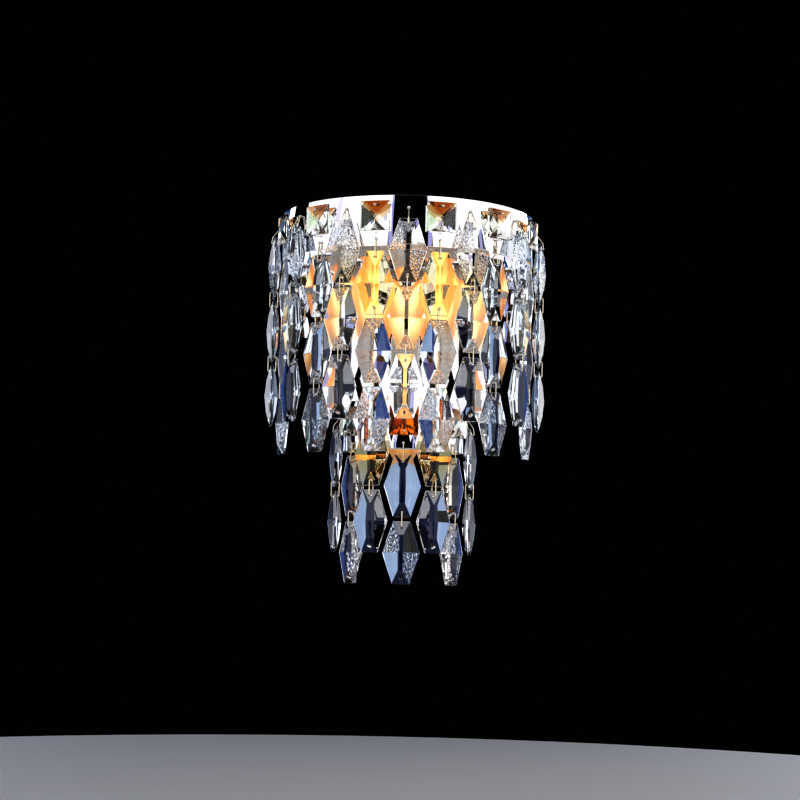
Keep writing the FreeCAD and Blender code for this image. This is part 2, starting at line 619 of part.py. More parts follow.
def make_lamp(x, y, shelf):
    """Candle lamp in a holder, as (cap, glass): the cap's contact lies just under the bore's end."""
    top = -HOLDER_CROWN - LAMP_CLEARANCE
    shell = top - LAMP_CONTACT_HEIGHT
    foot = top - LAMP_CAP_LENGTH
    cap = turned([
        (0, top), (LAMP_CONTACT_RADIUS, top), (LAMP_CAP_RADIUS, shell), (LAMP_CAP_RADIUS, foot), (0, foot),
    ], LAMP_SIDES, x, y, shelf)
    neck_end = foot - LAMP_NECK_LENGTH
    tip = foot - LAMP_GLASS_LENGTH
    bulge = foot - LAMP_BULGE_DROP
    glass = turned([
        (0, foot), (LAMP_NECK_RADIUS, foot), (LAMP_NECK_RADIUS, neck_end),
        (LAMP_SHOULDER_RADIUS, (neck_end + bulge) / 2), (LAMP_BULGE_RADIUS, bulge),
        (LAMP_SHOULDER_RADIUS, (bulge + tip) / 2), (LAMP_TIP_RADIUS, tip + LAMP_TIP_RADIUS), (0, tip),
    ], LAMP_SIDES, x, y, shelf)
    return cap, glass


def lead(points):
    """Lead along straight runs joined by tangent arcs."""
    edges = []
    start = points[0]
    for before, corner, after in zip(points, points[1:], points[2:]):
        into, out = corner - before, after - corner
        turn = into.getAngle(out)
        shorter = min(into.Length, out.Length)
        cut = 0.45 * shorter
        first = corner - into.normalize() * cut
        last = corner + out.normalize() * cut
        radius = cut / math.tan(turn / 2)
        inward = (first + last) * 0.5 - corner
        centre_distance = math.hypot(cut, radius)
        middle = corner + inward.normalize() * (centre_distance - radius)
        edges += [Part.LineSegment(start, first).toShape(), Part.Arc(first, middle, last).toShape()]
        start = last
    edges.append(Part.LineSegment(start, points[-1]).toShape())
    ring = ring_of(LEAD_RADIUS, 0, LEAD_SIDES)
    section = Part.makePolygon(ring + ring[:1])
    section.Placement = FreeCAD.Placement(points[0], FreeCAD.Rotation(UP, points[1] - points[0]))
    return Part.Wire(edges).makePipeShell([section], True, False)


def make_leads():
    """Leads from the terminal block through the grommets to the backs of the lampholders."""
    inside = -PLATE_DEPTH / 2
    block_top, block_foot = BLOCK_RISE + BLOCK_HEIGHT / 2, BLOCK_RISE - BLOCK_HEIGHT / 2
    entry = UPPER_SHELF - LEAD_ENTRY_DROP
    holder_back = UPPER_LAMP_LINE + HOLDER_RADIUS
    leads = []
    for side in (-1, 1):
        x, lamp_x = side * LEAD_SPREAD, side * UPPER_LAMP_SPREAD
        leads.append(lead([
            vec(x, inside, block_top),
            vec(x, inside, UPPER_GROMMET_RISE),
            vec(x, -PLATE_DEPTH - LEAD_RUN_OUT, UPPER_GROMMET_RISE),
            vec(lamp_x, holder_back + LEAD_RUN_IN, entry),
            vec(lamp_x, holder_back, entry),
        ]))
    leads.append(lead([
        vec(0, inside, block_foot),
        vec(0, inside, LOWER_GROMMET_RISE),
        vec(0, -PLATE_DEPTH - LOWER_LAMP_REACH + HOLDER_RADIUS, LOWER_GROMMET_RISE),
    ]))
    return leads


def make_terminal_block():
    """Terminal block on the inside of the back plate's front, with its screw pockets."""
    front = -PLATE_DEPTH + PLATE_SHEET
    block = Part.makeBox(
        BLOCK_WIDTH, BLOCK_DEPTH, BLOCK_HEIGHT, vec(-BLOCK_WIDTH / 2, front, BLOCK_RISE - BLOCK_HEIGHT / 2)
    )
    for i in range(BLOCK_POLES):
        x = (i - (BLOCK_POLES - 1) / 2) * BLOCK_WIDTH / BLOCK_POLES
        pocket = bore(POLE_RADIUS, POLE_DEPTH, vec(x, front + BLOCK_DEPTH, BLOCK_RISE), OUT, SMALL_SIDES)
        block = block.cut(pocket)
    return block


def make_grommet(height):
    """Rubber ring in the back plate's wiring hole, with a lip on either side of the sheet."""
    groove = GROMMET_RADIUS - FIT_CLEARANCE
    lip = GROMMET_RADIUS + GROMMET_LIP
    inner, outer = -GROMMET_LIP - PLATE_SHEET, GROMMET_LIP
    profile = [
        (GROMMET_BORE_RADIUS, inner), (lip, inner), (lip, -PLATE_SHEET), (groove, -PLATE_SHEET),
        (groove, 0), (lip, 0), (lip, outer), (GROMMET_BORE_RADIUS, outer),
    ]
    return laid_forward(turned(profile, SMALL_SIDES), 0, -PLATE_DEPTH, height)


def make_strings(tier, crystal, link):
    """Every string of a tier, as {node name: solids}."""
    nodes = {}
    pins = {in_front: hanging_pin(in_front) for in_front in (True, False)}
    for number, angle, in_front in tier.columns():
        row = tier.upper_row if in_front else tier.lower_row
        offset = IN_FRONT_OFFSET if in_front else BELOW_OFFSET
        first = row - (PIN_DROP if in_front else BELOW_BAND_DROP) - HEX_LENGTH / 2
        heights = [first - i * CRYSTAL_PITCH for i in range(tier.crystals)]
        joins = [height - CRYSTAL_PITCH / 2 for height in heights[:-1]]
        name = "%s_string_%02d" % (tier.name, number)
        nodes[name + "_crystals"] = [tier.place(crystal, angle, offset, height) for height in heights]
        nodes[name + "_wires"] = [tier.place(pins[in_front], angle, 0, row)]
        nodes[name + "_wires"] += [tier.place(link, angle, offset, height) for height in joins]
    return nodes


def make_squares(tier, crystal, pin):
    """The square crystals of a tier and their pins, as (crystals, pins)."""
    crystals, pins = [], []
    for _, angle, in_front in tier.columns():
        if not in_front:
            crystals.append(tier.place(crystal, angle, square_offset(), tier.lower_row + SQUARE_RISE))
            pins += [tier.place(pin, angle, 0, height) for height in square_pin_heights(tier)]
    return crystals, pins


def make_all():
    """Every node of the sconce, as {name: solids}."""
    long_crystal, link = hex_crystal(), crystal_link()
    upper_lamps = (-UPPER_LAMP_SPREAD, UPPER_LAMP_SPREAD)
    lamps = [make_lamp(*place) for place in LAMPS]
    squares = [make_squares(tier, square_crystal(), square_pin()) for tier in (UPPER, LOWER)]
    nodes = {
        "back_plate": [make_back_plate()],
        "wall_strip": [make_wall_strip()],
        "strip_studs": make_studs(),
        "cap_nuts": make_cap_nuts(),
        "upper_band": [make_band(UPPER)],
        "lower_band": [make_band(LOWER)],
        "band_screws": make_band_screws(),
        "upper_lamp_bracket": [make_bracket(*BRACKETS[0], upper_lamps, UPPER_LAMP_REACH)],
        "lower_lamp_bracket": [make_bracket(*BRACKETS[1], (0,), LOWER_LAMP_REACH)],
        "bracket_screws": make_bracket_screws(),
        "lampholders": [make_holder(*place) for place in LAMPS],
        "bulb_caps": [cap for cap, _ in lamps],
        "bulb_glasses": [glass for _, glass in lamps],
        "terminal_block": [make_terminal_block()],
        "lamp_leads": make_leads(),
        "wire_grommets": [make_grommet(rise) for rise in (UPPER_GROMMET_RISE, LOWER_GROMMET_RISE)],
        "square_crystals": [solid for crystals, _ in squares for solid in crystals],
        "square_pins": [solid for _, pins in squares for solid in pins],
    }
    nodes.update(make_strings(UPPER, long_crystal, link))
    nodes.update(make_strings(LOWER, long_crystal, link))
    return nodes


os.makedirs("parts", exist_ok=True)
for node, solids in make_all().items():
    shape = solids[0] if len(solids) == 1 else Part.makeCompound(solids)
    shape.exportStep("parts/%s.step" % node)
    print(node, len(solids), "solids", round(shape.Volume / 1000, 2), "cm3")
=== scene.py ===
"""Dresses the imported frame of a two-tier crystal wall sconce.

Half-round mirror bands carry strings of long cut crystals and square crystals in front of three
candle lamps. Sizes are in metres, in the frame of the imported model: +Z is up, the wall is the
plane y = 0 and the sconce stands out of it along -Y. A piece that repeats is modelled at the
origin, facing -Y, and its copies are put in place in their own meshes.
"""

import json
import logging
import math
from contextlib import contextmanager
from dataclasses import dataclass
from enum import Enum
from functools import cache
from typing import Callable, Iterable, Iterator, Sequence

import bmesh
import bpy
from mathutils import Matrix, Vector


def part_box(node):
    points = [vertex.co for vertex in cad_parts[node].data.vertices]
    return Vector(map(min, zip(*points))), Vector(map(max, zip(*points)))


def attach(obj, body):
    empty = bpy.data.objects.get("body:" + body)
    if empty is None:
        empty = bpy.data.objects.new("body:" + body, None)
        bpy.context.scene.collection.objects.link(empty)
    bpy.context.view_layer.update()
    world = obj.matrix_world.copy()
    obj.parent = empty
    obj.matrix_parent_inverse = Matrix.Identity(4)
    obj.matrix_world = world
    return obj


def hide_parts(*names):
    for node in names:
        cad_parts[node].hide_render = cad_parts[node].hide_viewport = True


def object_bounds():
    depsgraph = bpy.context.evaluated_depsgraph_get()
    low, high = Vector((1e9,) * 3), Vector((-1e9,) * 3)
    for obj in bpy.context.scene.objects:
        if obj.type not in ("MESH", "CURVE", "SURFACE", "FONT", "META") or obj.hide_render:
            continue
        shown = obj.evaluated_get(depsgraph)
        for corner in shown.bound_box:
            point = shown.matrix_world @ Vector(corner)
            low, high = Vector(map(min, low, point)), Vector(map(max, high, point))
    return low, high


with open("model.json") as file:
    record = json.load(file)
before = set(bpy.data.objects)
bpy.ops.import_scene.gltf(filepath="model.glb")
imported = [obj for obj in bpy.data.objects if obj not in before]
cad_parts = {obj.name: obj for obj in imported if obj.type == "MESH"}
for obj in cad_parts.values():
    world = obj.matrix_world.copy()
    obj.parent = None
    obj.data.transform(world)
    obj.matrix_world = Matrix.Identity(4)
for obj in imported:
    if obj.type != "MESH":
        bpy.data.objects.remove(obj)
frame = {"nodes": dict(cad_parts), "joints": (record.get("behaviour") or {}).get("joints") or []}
CAD_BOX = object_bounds()

MM = 0.001
CM = 0.01
WELD = 1e-6                 # vertices nearer than this are one
TINT_AND_LIGHT = "tint"               # colour attribute: the crystals' own colour with painted light, and the glow along the lamps' glasses
WAYS = (-1, 1)              # left and right, below and above, or back and front
OUT = Vector((0, -1, 0))    # away from the wall
UP = Vector((0, 0, 1))
BEND_SHARE = 0.48           # the most of a run that a bend at one end takes
THREAD_ROOT = 0.1           # a thread's root comes at this part of its turn
FLAT = math.radians(1)      # faces that turn less than this from each other are one

Piece = bpy.types.Object
Tree = bpy.types.NodeTree
Node = bpy.types.Node
Colour = tuple[float, float, float]
Corner = tuple[float, float]
log = logging.getLogger("sconce")


class Hang(Enum):
    """Where a string hangs: from the upper row of holes or from the lower one."""

    IN_FRONT = "in front of the band"
    BELOW = "below the band"


class Facet(Enum):
    """How a crystal's facet is finished; the value is its material's place on the mesh."""

    CLEAR = 0
    ICE = 1


class Cut(Enum):
    """Which facets of a crystal's front are crackled."""

    ALL_CLEAR = "none"
    TWO_ICE = "upper left and lower right"
    END_ICE = "both ends"


# ------------------------------------------------------------------ modelling


def deselect() -> None:
    """Leaves nothing selected."""
    bpy.ops.object.select_all(action="DESELECT")


def activate(*pieces: Piece) -> None:
    """Selects pieces and nothing else, and makes the first one active.

    Args:
        *pieces: At least one object.
    """
    deselect()
    for piece in pieces:
        piece.select_set(True)
    bpy.context.view_layer.objects.active = pieces[0]


@contextmanager
def editing(piece: Piece) -> Iterator[None]:
    """Edit mode on one piece, with all of it selected.

    Args:
        piece: A mesh object.

    Returns:
        The context in which the mesh is edited.
    """
    activate(piece)
    bpy.ops.object.mode_set(mode="EDIT")
    bpy.ops.mesh.select_mode(type="VERT")
    bpy.ops.mesh.select_all(action="SELECT")
    yield
    bpy.ops.object.mode_set(mode="OBJECT")


def pick(piece: Piece, kind: str, test: Callable[..., bool]) -> None:
    """Selects, in edit mode, the vertices or faces that pass a test, and no others.

    Args:
        piece: The mesh object in edit mode.
        kind: VERT or FACE.
        test: Takes a vertex or a face and says whether it is picked.
    """
    bpy.ops.mesh.select_mode(type=kind)
    mesh = bmesh.from_edit_mesh(piece.data)
    for part in mesh.verts if kind == "VERT" else mesh.faces:
        part.select = test(part)
    mesh.select_flush_mode()
    bmesh.update_edit_mesh(piece.data)


def modified(piece: Piece, kind: str, **settings: object) -> Piece:
    """Adds a modifier to a piece and applies it.

    Args:
        piece: The mesh object.
        kind: The modifier's type, such as BEVEL.
        **settings: The modifier's own properties.

    Returns:
        The same piece.
    """
    activate(piece)
    modifier = piece.modifiers.new(kind, kind)
    for setting, value in settings.items():
        setattr(modifier, setting, value)
    bpy.ops.object.modifier_apply(modifier=modifier.name)
    return piece


def rounded(piece: Piece, width: float, angle: float = 50, segments: int = 2) -> Piece:
    """Rounds a piece's edges that are sharper than an angle in degrees."""
    limits = {"limit_method": "ANGLE", "angle_limit": math.radians(angle)}
    return modified(piece, "BEVEL", width=width, segments=segments, **limits)


def welded(piece: Piece) -> Piece:
    """Merges a piece's doubled vertices and turns its faces outwards.

    Args:
        piece: The mesh object.

    Returns:
        The same piece.
    """
    with editing(piece):
        bpy.ops.mesh.remove_doubles(threshold=WELD)
        bpy.ops.mesh.normals_make_consistent(inside=False)
    return piece


def smooth(piece: Piece, angle: float = 30) -> Piece:
    """Shades a piece smooth, apart from its sharp edges.

    Args:
        piece: The mesh object.
        angle: Degrees between two faces, from which their edge is sharp.

    Returns:
        The same piece.
    """
    activate(piece)
    bpy.ops.object.shade_smooth_by_angle(angle=math.radians(angle))
    return piece


def joined(name: str, pieces: Sequence[Piece]) -> Piece:
    """Joins pieces into one object.

    Args:
        name: The joined object's name.
        pieces: The objects, which the first one takes in.

    Returns:
        The joined object.
    """
    activate(*pieces)
    if len(pieces) > 1:
        bpy.ops.object.join()
    pieces[0].name = name
    return pieces[0]


def copied(pattern: Piece, place: Matrix) -> Piece:
    """Copies a pattern with its own mesh, which is moved into place.

    Args:
        pattern: The object to copy.
        place: The move from the pattern's place to the copy's.

    Returns:
        The copy, an object at the origin.
    """
    mesh = pattern.data.copy()
    mesh.transform(place)
    copy = bpy.data.objects.new(pattern.name, mesh)
    bpy.context.scene.collection.objects.link(copy)
    return copy


def discard(*pieces: Piece) -> None:
    """Removes patterns and cutters that are no longer needed."""
    for piece in pieces:
        bpy.data.objects.remove(piece)


def repeated(name: str, pattern: Piece, places: Iterable[Matrix]) -> Piece:
    """Turns a pattern into one object that has a copy of it in each place.

    Args:
        name: The object's name.
        pattern: The object to copy, which is removed.
        places: The moves from the pattern's place to the copies'.

    Returns:
        The joined copies.
    """
    copies = [copied(pattern, place) for place in places]
    discard(pattern)
    return joined(name, copies)


def added(name: str, add: Callable[..., object], **settings: object) -> Piece:
    """Adds a primitive and puts its place, turn and size into its mesh.

    Args:
        name: The object's name.
        add: The operator that adds it.
        **settings: The operator's properties.

    Returns:
        The primitive, an object at the origin.
    """
    deselect()
    add(**settings)
    piece = bpy.context.object
    bpy.ops.object.transform_apply(location=True, rotation=True, scale=True)
    piece.name = name
    return piece


def block(name: str, low: Vector, high: Vector) -> Piece:
    """A box between two corners."""
    return added(name, bpy.ops.mesh.primitive_cube_add, size=1, location=(low + high) / 2, scale=high - low)


def rod(name: str, radius: float, length: float, place: Vector, direction: Vector, sides: int = 24) -> Piece:
    """A cylinder about a line in a direction through a place, which is its middle."""
    pose = {"location": place, "rotation": direction.to_track_quat("Z", "Y").to_euler(), "depth": length}
    return added(name, bpy.ops.mesh.primitive_cylinder_add, vertices=sides, radius=radius, **pose)


def turned(name: str, profile: Sequence[Corner], steps: int = 40) -> Piece:
    """A piece turned about the Z axis.

    Args:
        name: The object's name.
        profile: (radius, height) corners, from one end to the other.
        steps: Faces round it.

    Returns:
        The turned piece.
    """
    piece = added(name, bpy.ops.mesh.primitive_plane_add, size=MM)
    with editing(piece):
        bpy.ops.mesh.merge(type="CENTER")
        here = Vector((0, 0, 0))
        for number, (radius, height) in enumerate(profile):
            step = Vector((radius, 0, height)) - here
            if number == 0:
                bpy.ops.transform.translate(value=step)
            else:
                bpy.ops.mesh.extrude_vertices_move(TRANSFORM_OT_translate={"value": step})
            here += step
        bpy.ops.mesh.select_all(action="SELECT")
        bpy.ops.mesh.spin(steps=steps, angle=2 * math.pi, center=(0, 0, 0), axis=UP)
    return welded(piece)


def cut_away(piece: Piece, tools: Sequence[Piece]) -> Piece:
    """Cuts tools out of a piece and removes them.

    Args:
        piece: The mesh object.
        tools: Closed meshes that don't touch each other.

    Returns:
        The same piece.
    """
    tool = joined("cutter", tools)
    modified(piece, "BOOLEAN", operation="DIFFERENCE", solver="EXACT", object=tool)
    discard(tool)
    return piece


def with_bends(
    corners: Sequence[Vector], reach: float, closed: bool = False, steps: int = 5
) -> list[Vector]:
    """Replaces each corner of a path by a bend.

    Args:
        corners: The path's corners.
        reach: How far from its corner a bend starts, where its runs are long enough.
        closed: True if the path's end is joined to its start.
        steps: Runs in each bend.

    Returns:
        The points of the bent path.
    """
    path = []
    for number, corner in enumerate(corners):
        if not closed and number in (0, len(corners) - 1):
            path.append(corner)
            continue
        back = corners[number - 1] - corner
        on = corners[(number + 1) % len(corners)] - corner
        cut = min(reach, BEND_SHARE * back.length, BEND_SHARE * on.length)
        first, last = corner + back.normalized() * cut, corner + on.normalized() * cut
        for step in range(steps + 1):
            share = step / steps
            path.append(first.lerp(corner, share).lerp(corner.lerp(last, share), share))
    return path


def bent_wire(name: str, path: Sequence[Vector], radius: float, closed: bool = False) -> Piece:
    """Round wire along a path.

    Args:
        name: The object's name.
        path: The points of its middle line.
        radius: The wire's radius.
        closed: True for a closed loop.

    Returns:
        The wire, a mesh.
    """
    curve = bpy.data.curves.new(name, "CURVE")
    curve.dimensions = "3D"
    curve.bevel_depth = radius
    curve.bevel_resolution = 2
    curve.use_fill_caps = not closed
    spline = curve.splines.new("POLY")
    spline.points.add(len(path) - 1)
    for point, place in zip(spline.points, path):
        point.co = (*place, 1)
    spline.use_cyclic_u = closed
    wire = bpy.data.objects.new(name, curve)
    bpy.context.scene.collection.objects.link(wire)
    activate(wire)
    bpy.ops.object.convert(target="MESH")
    return smooth(welded(bpy.context.object), 50)


def side_path(corners: Sequence[Corner]) -> list[Vector]:
    """Turns (out, up) corners in the plane x = 0 into points; out is -Y."""
    return [Vector((0, -out, up)) for out, up in corners]


def thread(
    root: float, crest: float, start: float, pitch: float, turns: range, peak: float = 0.6
) -> list[Corner]:
    """Corners of a thread's profile: a root and a crest in each of its turns."""
    parts = ((root, THREAD_ROOT), (crest, peak))
    return [(radius, start + (turn + part) * pitch) for turn in turns for radius, part in parts]


def dome(radius: float, foot: float, height: float, step: int) -> list[Corner]:
    """Corners of a dome's profile from its rim up, one at every few degrees."""
    angles = [math.radians(angle) for angle in range(0, 90, step)]
    return [(radius * math.cos(angle), foot + height * math.sin(angle)) for angle in angles]


def painted(piece: Piece, *finishes: "Finish") -> Piece:
    """Gives a mesh its materials.

    Args:
        piece: The mesh object.
        *finishes: Its finishes, in the order of their places on the mesh.

    Returns:
        The same piece.
    """
    for finish in finishes:
        piece.data.materials.append(finish.material())
    return piece


def dressed(piece: Piece, name: str, finish: "Finish", *stands_for: str, body: str = "root") -> Piece:
    """Names a finished piece and puts it on its body.

    Args:
        piece: The mesh object, in place.
        name: The piece's name.
        finish: Its finish, which is also put on a mesh that has none yet.
        *stands_for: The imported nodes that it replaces.
        body: The body that it rides on.

    Returns:
        The same piece.
    """
    piece.name = name
    if not piece.data.materials:
        painted(piece, finish)
    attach(piece, body)
    if stands_for:
        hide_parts(*stands_for)
    log.info("%s: %d faces, on %s", name, len(piece.data.polygons), body)
    return piece


def softened(node: str, width: float) -> Piece:
    """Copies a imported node's flat-sided shape and rounds its sharp edges.

    Args:
        node: The node's name.
        width: How far the rounding reaches from an edge.

    Returns:
        The copy.
    """
    copy = copied(frame["nodes"][node], Matrix.Identity(4))
    copy.data.materials.clear()
    welded(copy)
    with editing(copy):
        bpy.ops.mesh.dissolve_limited(angle_limit=FLAT)
    rounded(copy, width, segments=3)
    return modified(smooth(copy, 35), "WEIGHTED_NORMAL", keep_sharp=True)


# ------------------------------------------------------------------ finishes


def fill(node: Node, values: dict[str | int, object]) -> None:
    """Sets a node's input sockets, by name or by number."""
    for socket, value in values.items():
        node.inputs[socket].default_value = value


def add_node(
    tree: Tree, kind: str, values: dict[str | int, object] | None = None, **settings: object
) -> Node:
    """Adds a node to a tree.

    Args:
        tree: The node tree.
        kind: The node's type.
        values: Values of its input sockets.
        **settings: The node's own properties.

    Returns:
        The node.
    """
    node = tree.nodes.new(kind)
    for setting, value in settings.items():
        setattr(node, setting, value)
    fill(node, values or {})
    return node


def wire_up(tree: Tree, *links: tuple[Node, str | int, Node, str | int]) -> None:
    """Links sockets: each link is a node, its output, a node and its input."""
    for source, output, target, socket in links:
        tree.links.new(source.outputs[output], target.inputs[socket])


def new_group(name: str, inputs: dict[str, float], outputs: Sequence[str]) -> tuple[Tree, Node, Node]:
    """Makes a shader node group with a Vector input, number inputs and number outputs.

    Args:
        name: The group's name.
        inputs: Number inputs with their values.
        outputs: Names of the number outputs.

    Returns:
        The group, its input node and its output node.
    """
    group = bpy.data.node_groups.new(name, "ShaderNodeTree")
    group.interface.new_socket("Vector", in_out="INPUT", socket_type="NodeSocketVector")
    for socket, value in inputs.items():
        made = group.interface.new_socket(socket, in_out="INPUT", socket_type="NodeSocketFloat")
        made.default_value = value
    for socket in outputs:
        group.interface.new_socket(socket, in_out="OUTPUT", socket_type="NodeSocketFloat")
    return group, add_node(group, "NodeGroupInput"), add_node(group, "NodeGroupOutput")


@cache
def handling_group() -> Tree:
    """Group that gives a surface the uneven gloss of handling: a roughness and a mask of dull patches.

    Returns:
        The node group.
    """
    group, source, result = new_group(
        "handling", {"Scale": 40, "Roughness": 0.2, "Spread": 0.1}, ("Roughness", "Mask")
    )
    clouds = add_node(group, "ShaderNodeTexNoise", {"Detail": 5, "Roughness": 0.6})
    contrast = add_node(
        group, "ShaderNodeMapRange", {"From Min": 0.35, "From Max": 0.7}, interpolation_type="SMOOTHSTEP"
    )
    spread = add_node(group, "ShaderNodeMath", operation="MULTIPLY_ADD")
    wire_up(
        group,
        (source, "Vector", clouds, "Vector"),
        (source, "Scale", clouds, "Scale"),
        (clouds, "Fac", contrast, "Value"),
        (contrast, "Result", spread, 0),
        (source, "Spread", spread, 1),
        (source, "Roughness", spread, 2),
        (spread, "Value", result, "Roughness"),
        (contrast, "Result", result, "Mask"),
    )
    return group


@cache
def crackle_group() -> Tree:
    """Group for crackled glass: grains with sharp seams, as a height and a roughness.

    Returns:
        The node group.
    """
    group, source, result = new_group("crackle", {"Scale": 900, "Roughness": 0.05}, ("Height", "Roughness"))
    grains = add_node(group, "ShaderNodeTexVoronoi", feature="F1")
    seams = add_node(group, "ShaderNodeTexVoronoi", feature="DISTANCE_TO_EDGE")
    clouds = add_node(group, "ShaderNodeTexNoise", {"Detail": 2})
    edge = add_node(group, "ShaderNodeMapRange", {"From Max": 0.12, "To Min": 0.5, "To Max": 0.0})
    coarse = add_node(group, "ShaderNodeMath", {1: 0.35}, operation="MULTIPLY")
    height = add_node(group, "ShaderNodeMath", {1: 0.9}, operation="MULTIPLY_ADD")
    dull = add_node(group, "ShaderNodeMath", operation="MULTIPLY_ADD")
    wire_up(
        group,
        (source, "Vector", grains, "Vector"),
        (source, "Scale", grains, "Scale"),
        (source, "Vector", seams, "Vector"),
        (source, "Scale", seams, "Scale"),
        (source, "Scale", coarse, 0),
        (source, "Vector", clouds, "Vector"),
        (coarse, "Value", clouds, "Scale"),
        (seams, "Distance", edge, "Value"),
        (grains, "Distance", height, 0),
        (clouds, "Fac", height, 2),
        (edge, "Result", dull, 0),
        (clouds, "Fac", dull, 1),
        (source, "Roughness", dull, 2),
        (height, "Value", result, "Height"),
        (dull, "Value", result, "Roughness"),
    )
    return group


@dataclass(frozen=True)
class Finish:
    """A finish: one material, made when the first piece asks for it.

    Attributes:
        name: The material's name.
        slot: The record's material slot that it belongs to; none on the studio's floor. Not used.
        colour: Its base colour.
        roughness: Its roughness where it is cleanest.
    """

    name: str
    slot: str
    colour: Colour
    roughness: float

    def material(self) -> bpy.types.Material:
        """Makes the finish's material or finds it.

        Returns:
            The material.
        """
        found = bpy.data.materials.get(self.name)
        if found is None:
            found = bpy.data.materials.new(self.name)
            found.use_nodes = True
            shader = found.node_tree.nodes["Principled BSDF"]
            fill(shader, {"Base Color": (*self.colour, 1), "Roughness": self.roughness})
            self.paint(found.node_tree, shader)
        return found

    def paint(self, tree: Tree, shader: Node) -> None:
        """Gives the shader what is particular to this finish, and nothing on a plain one."""


@dataclass(frozen=True)
class Coated(Finish):
    """A plain finish with the uneven gloss of handling.

    Attributes:
        metallic: 1 for metal and 0 for everything else.
        scale: Dull patches per metre.
        spread: Roughness that the dullest patches add.
        coat: Weight of a clear coat.
        bump: Strength of the surface's fine unevenness.
        bump_height: Its height.
    """

    metallic: float = 0
    scale: float = 60
    spread: float = 0.08
    coat: float = 0
    bump: float = 0
    bump_height: float = 0.2 * MM

    def paint(self, tree: Tree, shader: Node) -> None:
        """Feeds the roughness, and the normal where it is uneven, from the handling group.

        Args:
            tree: The material's node tree.
            shader: Its Principled BSDF.
        """
        fill(shader, {"Metallic": self.metallic, "Coat Weight": self.coat})
        where = add_node(tree, "ShaderNodeTexCoord")
        handling = add_node(tree, "ShaderNodeGroup", node_tree=handling_group())
        fill(handling, {"Scale": self.scale, "Roughness": self.roughness, "Spread": self.spread})
        wire_up(tree, (where, "Object", handling, "Vector"), (handling, "Roughness", shader, "Roughness"))
        if self.bump:
            relief = add_node(tree, "ShaderNodeBump", {"Strength": self.bump, "Distance": self.bump_height})
            wire_up(tree, (handling, "Mask", relief, "Height"), (relief, "Normal", shader, "Normal"))


@dataclass(frozen=True)
class CutGlass(Finish):
    """Cut crystal glass, coloured by each crystal's colour attribute, which holds its own colour and painted
    light.

    Attributes:
        ior: The glass's index of refraction.
        film: Thickness of its thin bright coating, in nanometres.
        film_ior: The coating's index of refraction.
    """

    ior: float = 1.53
    film: float = 0
    film_ior: float = 1.64

    def paint(self, tree: Tree, shader: Node) -> None:
        """Makes the shader clear glass and takes its colour, with the painted light, from the crystal.

        Args:
            tree: The material's node tree.
            shader: Its Principled BSDF.
        """
        fill(shader, {"IOR": self.ior, "Transmission Weight": 1})
        fill(shader, {"Thin Film Thickness": self.film, "Thin Film IOR": self.film_ior})
        tint = add_node(tree, "ShaderNodeAttribute", attribute_name=TINT_AND_LIGHT)
        wire_up(tree, (tint, "Color", shader, "Base Color"))


@dataclass(frozen=True)
class IceGlass(CutGlass):
    """The same glass where a facet is crackled.

    Attributes:
        scale: Grains per metre.
        depth: Height of the grains.
        strength: Strength of their relief.
    """

    scale: float = 900
    depth: float = 0.3 * MM
    strength: float = 1.0

    def paint(self, tree: Tree, shader: Node) -> None:
        """Adds the crackle's relief and dull seams to the clear glass.

        Args:
            tree: The material's node tree.
            shader: Its Principled BSDF.
        """
        super().paint(tree, shader)
        where = add_node(tree, "ShaderNodeTexCoord")
        crackle = add_node(tree, "ShaderNodeGroup", node_tree=crackle_group())
        fill(crackle, {"Scale": self.scale, "Roughness": self.roughness})
        relief = add_node(tree, "ShaderNodeBump", {"Strength": self.strength, "Distance": self.depth})
        wire_up(
            tree,
            (where, "Object", crackle, "Vector"),
            (crackle, "Roughness", shader, "Roughness"),
            (crackle, "Height", relief, "Height"),
            (relief, "Normal", shader, "Normal"),
        )


@dataclass(frozen=True)
class LitGlass(Finish):
    """Frosted lamp glass, lit from inside: brightest beside the filament, deeper in colour at its outline.

    Attributes:
        outline: Colour of the light where the glass turns away.
        core: Share of the turn away over which the colour changes.
        strength: How bright the light is.
    """

    outline: Colour = (0.52, 0.15, 0.02)
    core: float = 0.28
    strength: float = 1.7

    def paint(self, tree: Tree, shader: Node) -> None:
        """Mixes the light's colour by how far the glass turns away, and dims it along the lamp.

        Args:
            tree: The material's node tree.
            shader: Its Principled BSDF.
        """
        fill(shader, {"Emission Strength": self.strength})
        along = add_node(tree, "ShaderNodeAttribute", attribute_name=TINT_AND_LIGHT)
        facing = add_node(tree, "ShaderNodeLayerWeight", {"Blend": 0.5})
        core = add_node(tree, "ShaderNodeMapRange", {"From Max": self.core, "To Min": 1.0, "To Max": 0.0})
        ends = {6: (*self.outline, 1), 7: (*self.colour, 1)}
        glow = add_node(tree, "ShaderNodeMix", ends, data_type="RGBA")
        dimmed = add_node(tree, "ShaderNodeMix", {0: 1}, data_type="RGBA", blend_type="MULTIPLY")
        wire_up(
            tree,
            (facing, "Facing", core, "Value"),
            (core, "Result", glow, 0),
            (glow, 2, dimmed, 6),
            (along, "Color", dimmed, 7),
            (dimmed, 2, shader, "Emission Color"),
        )


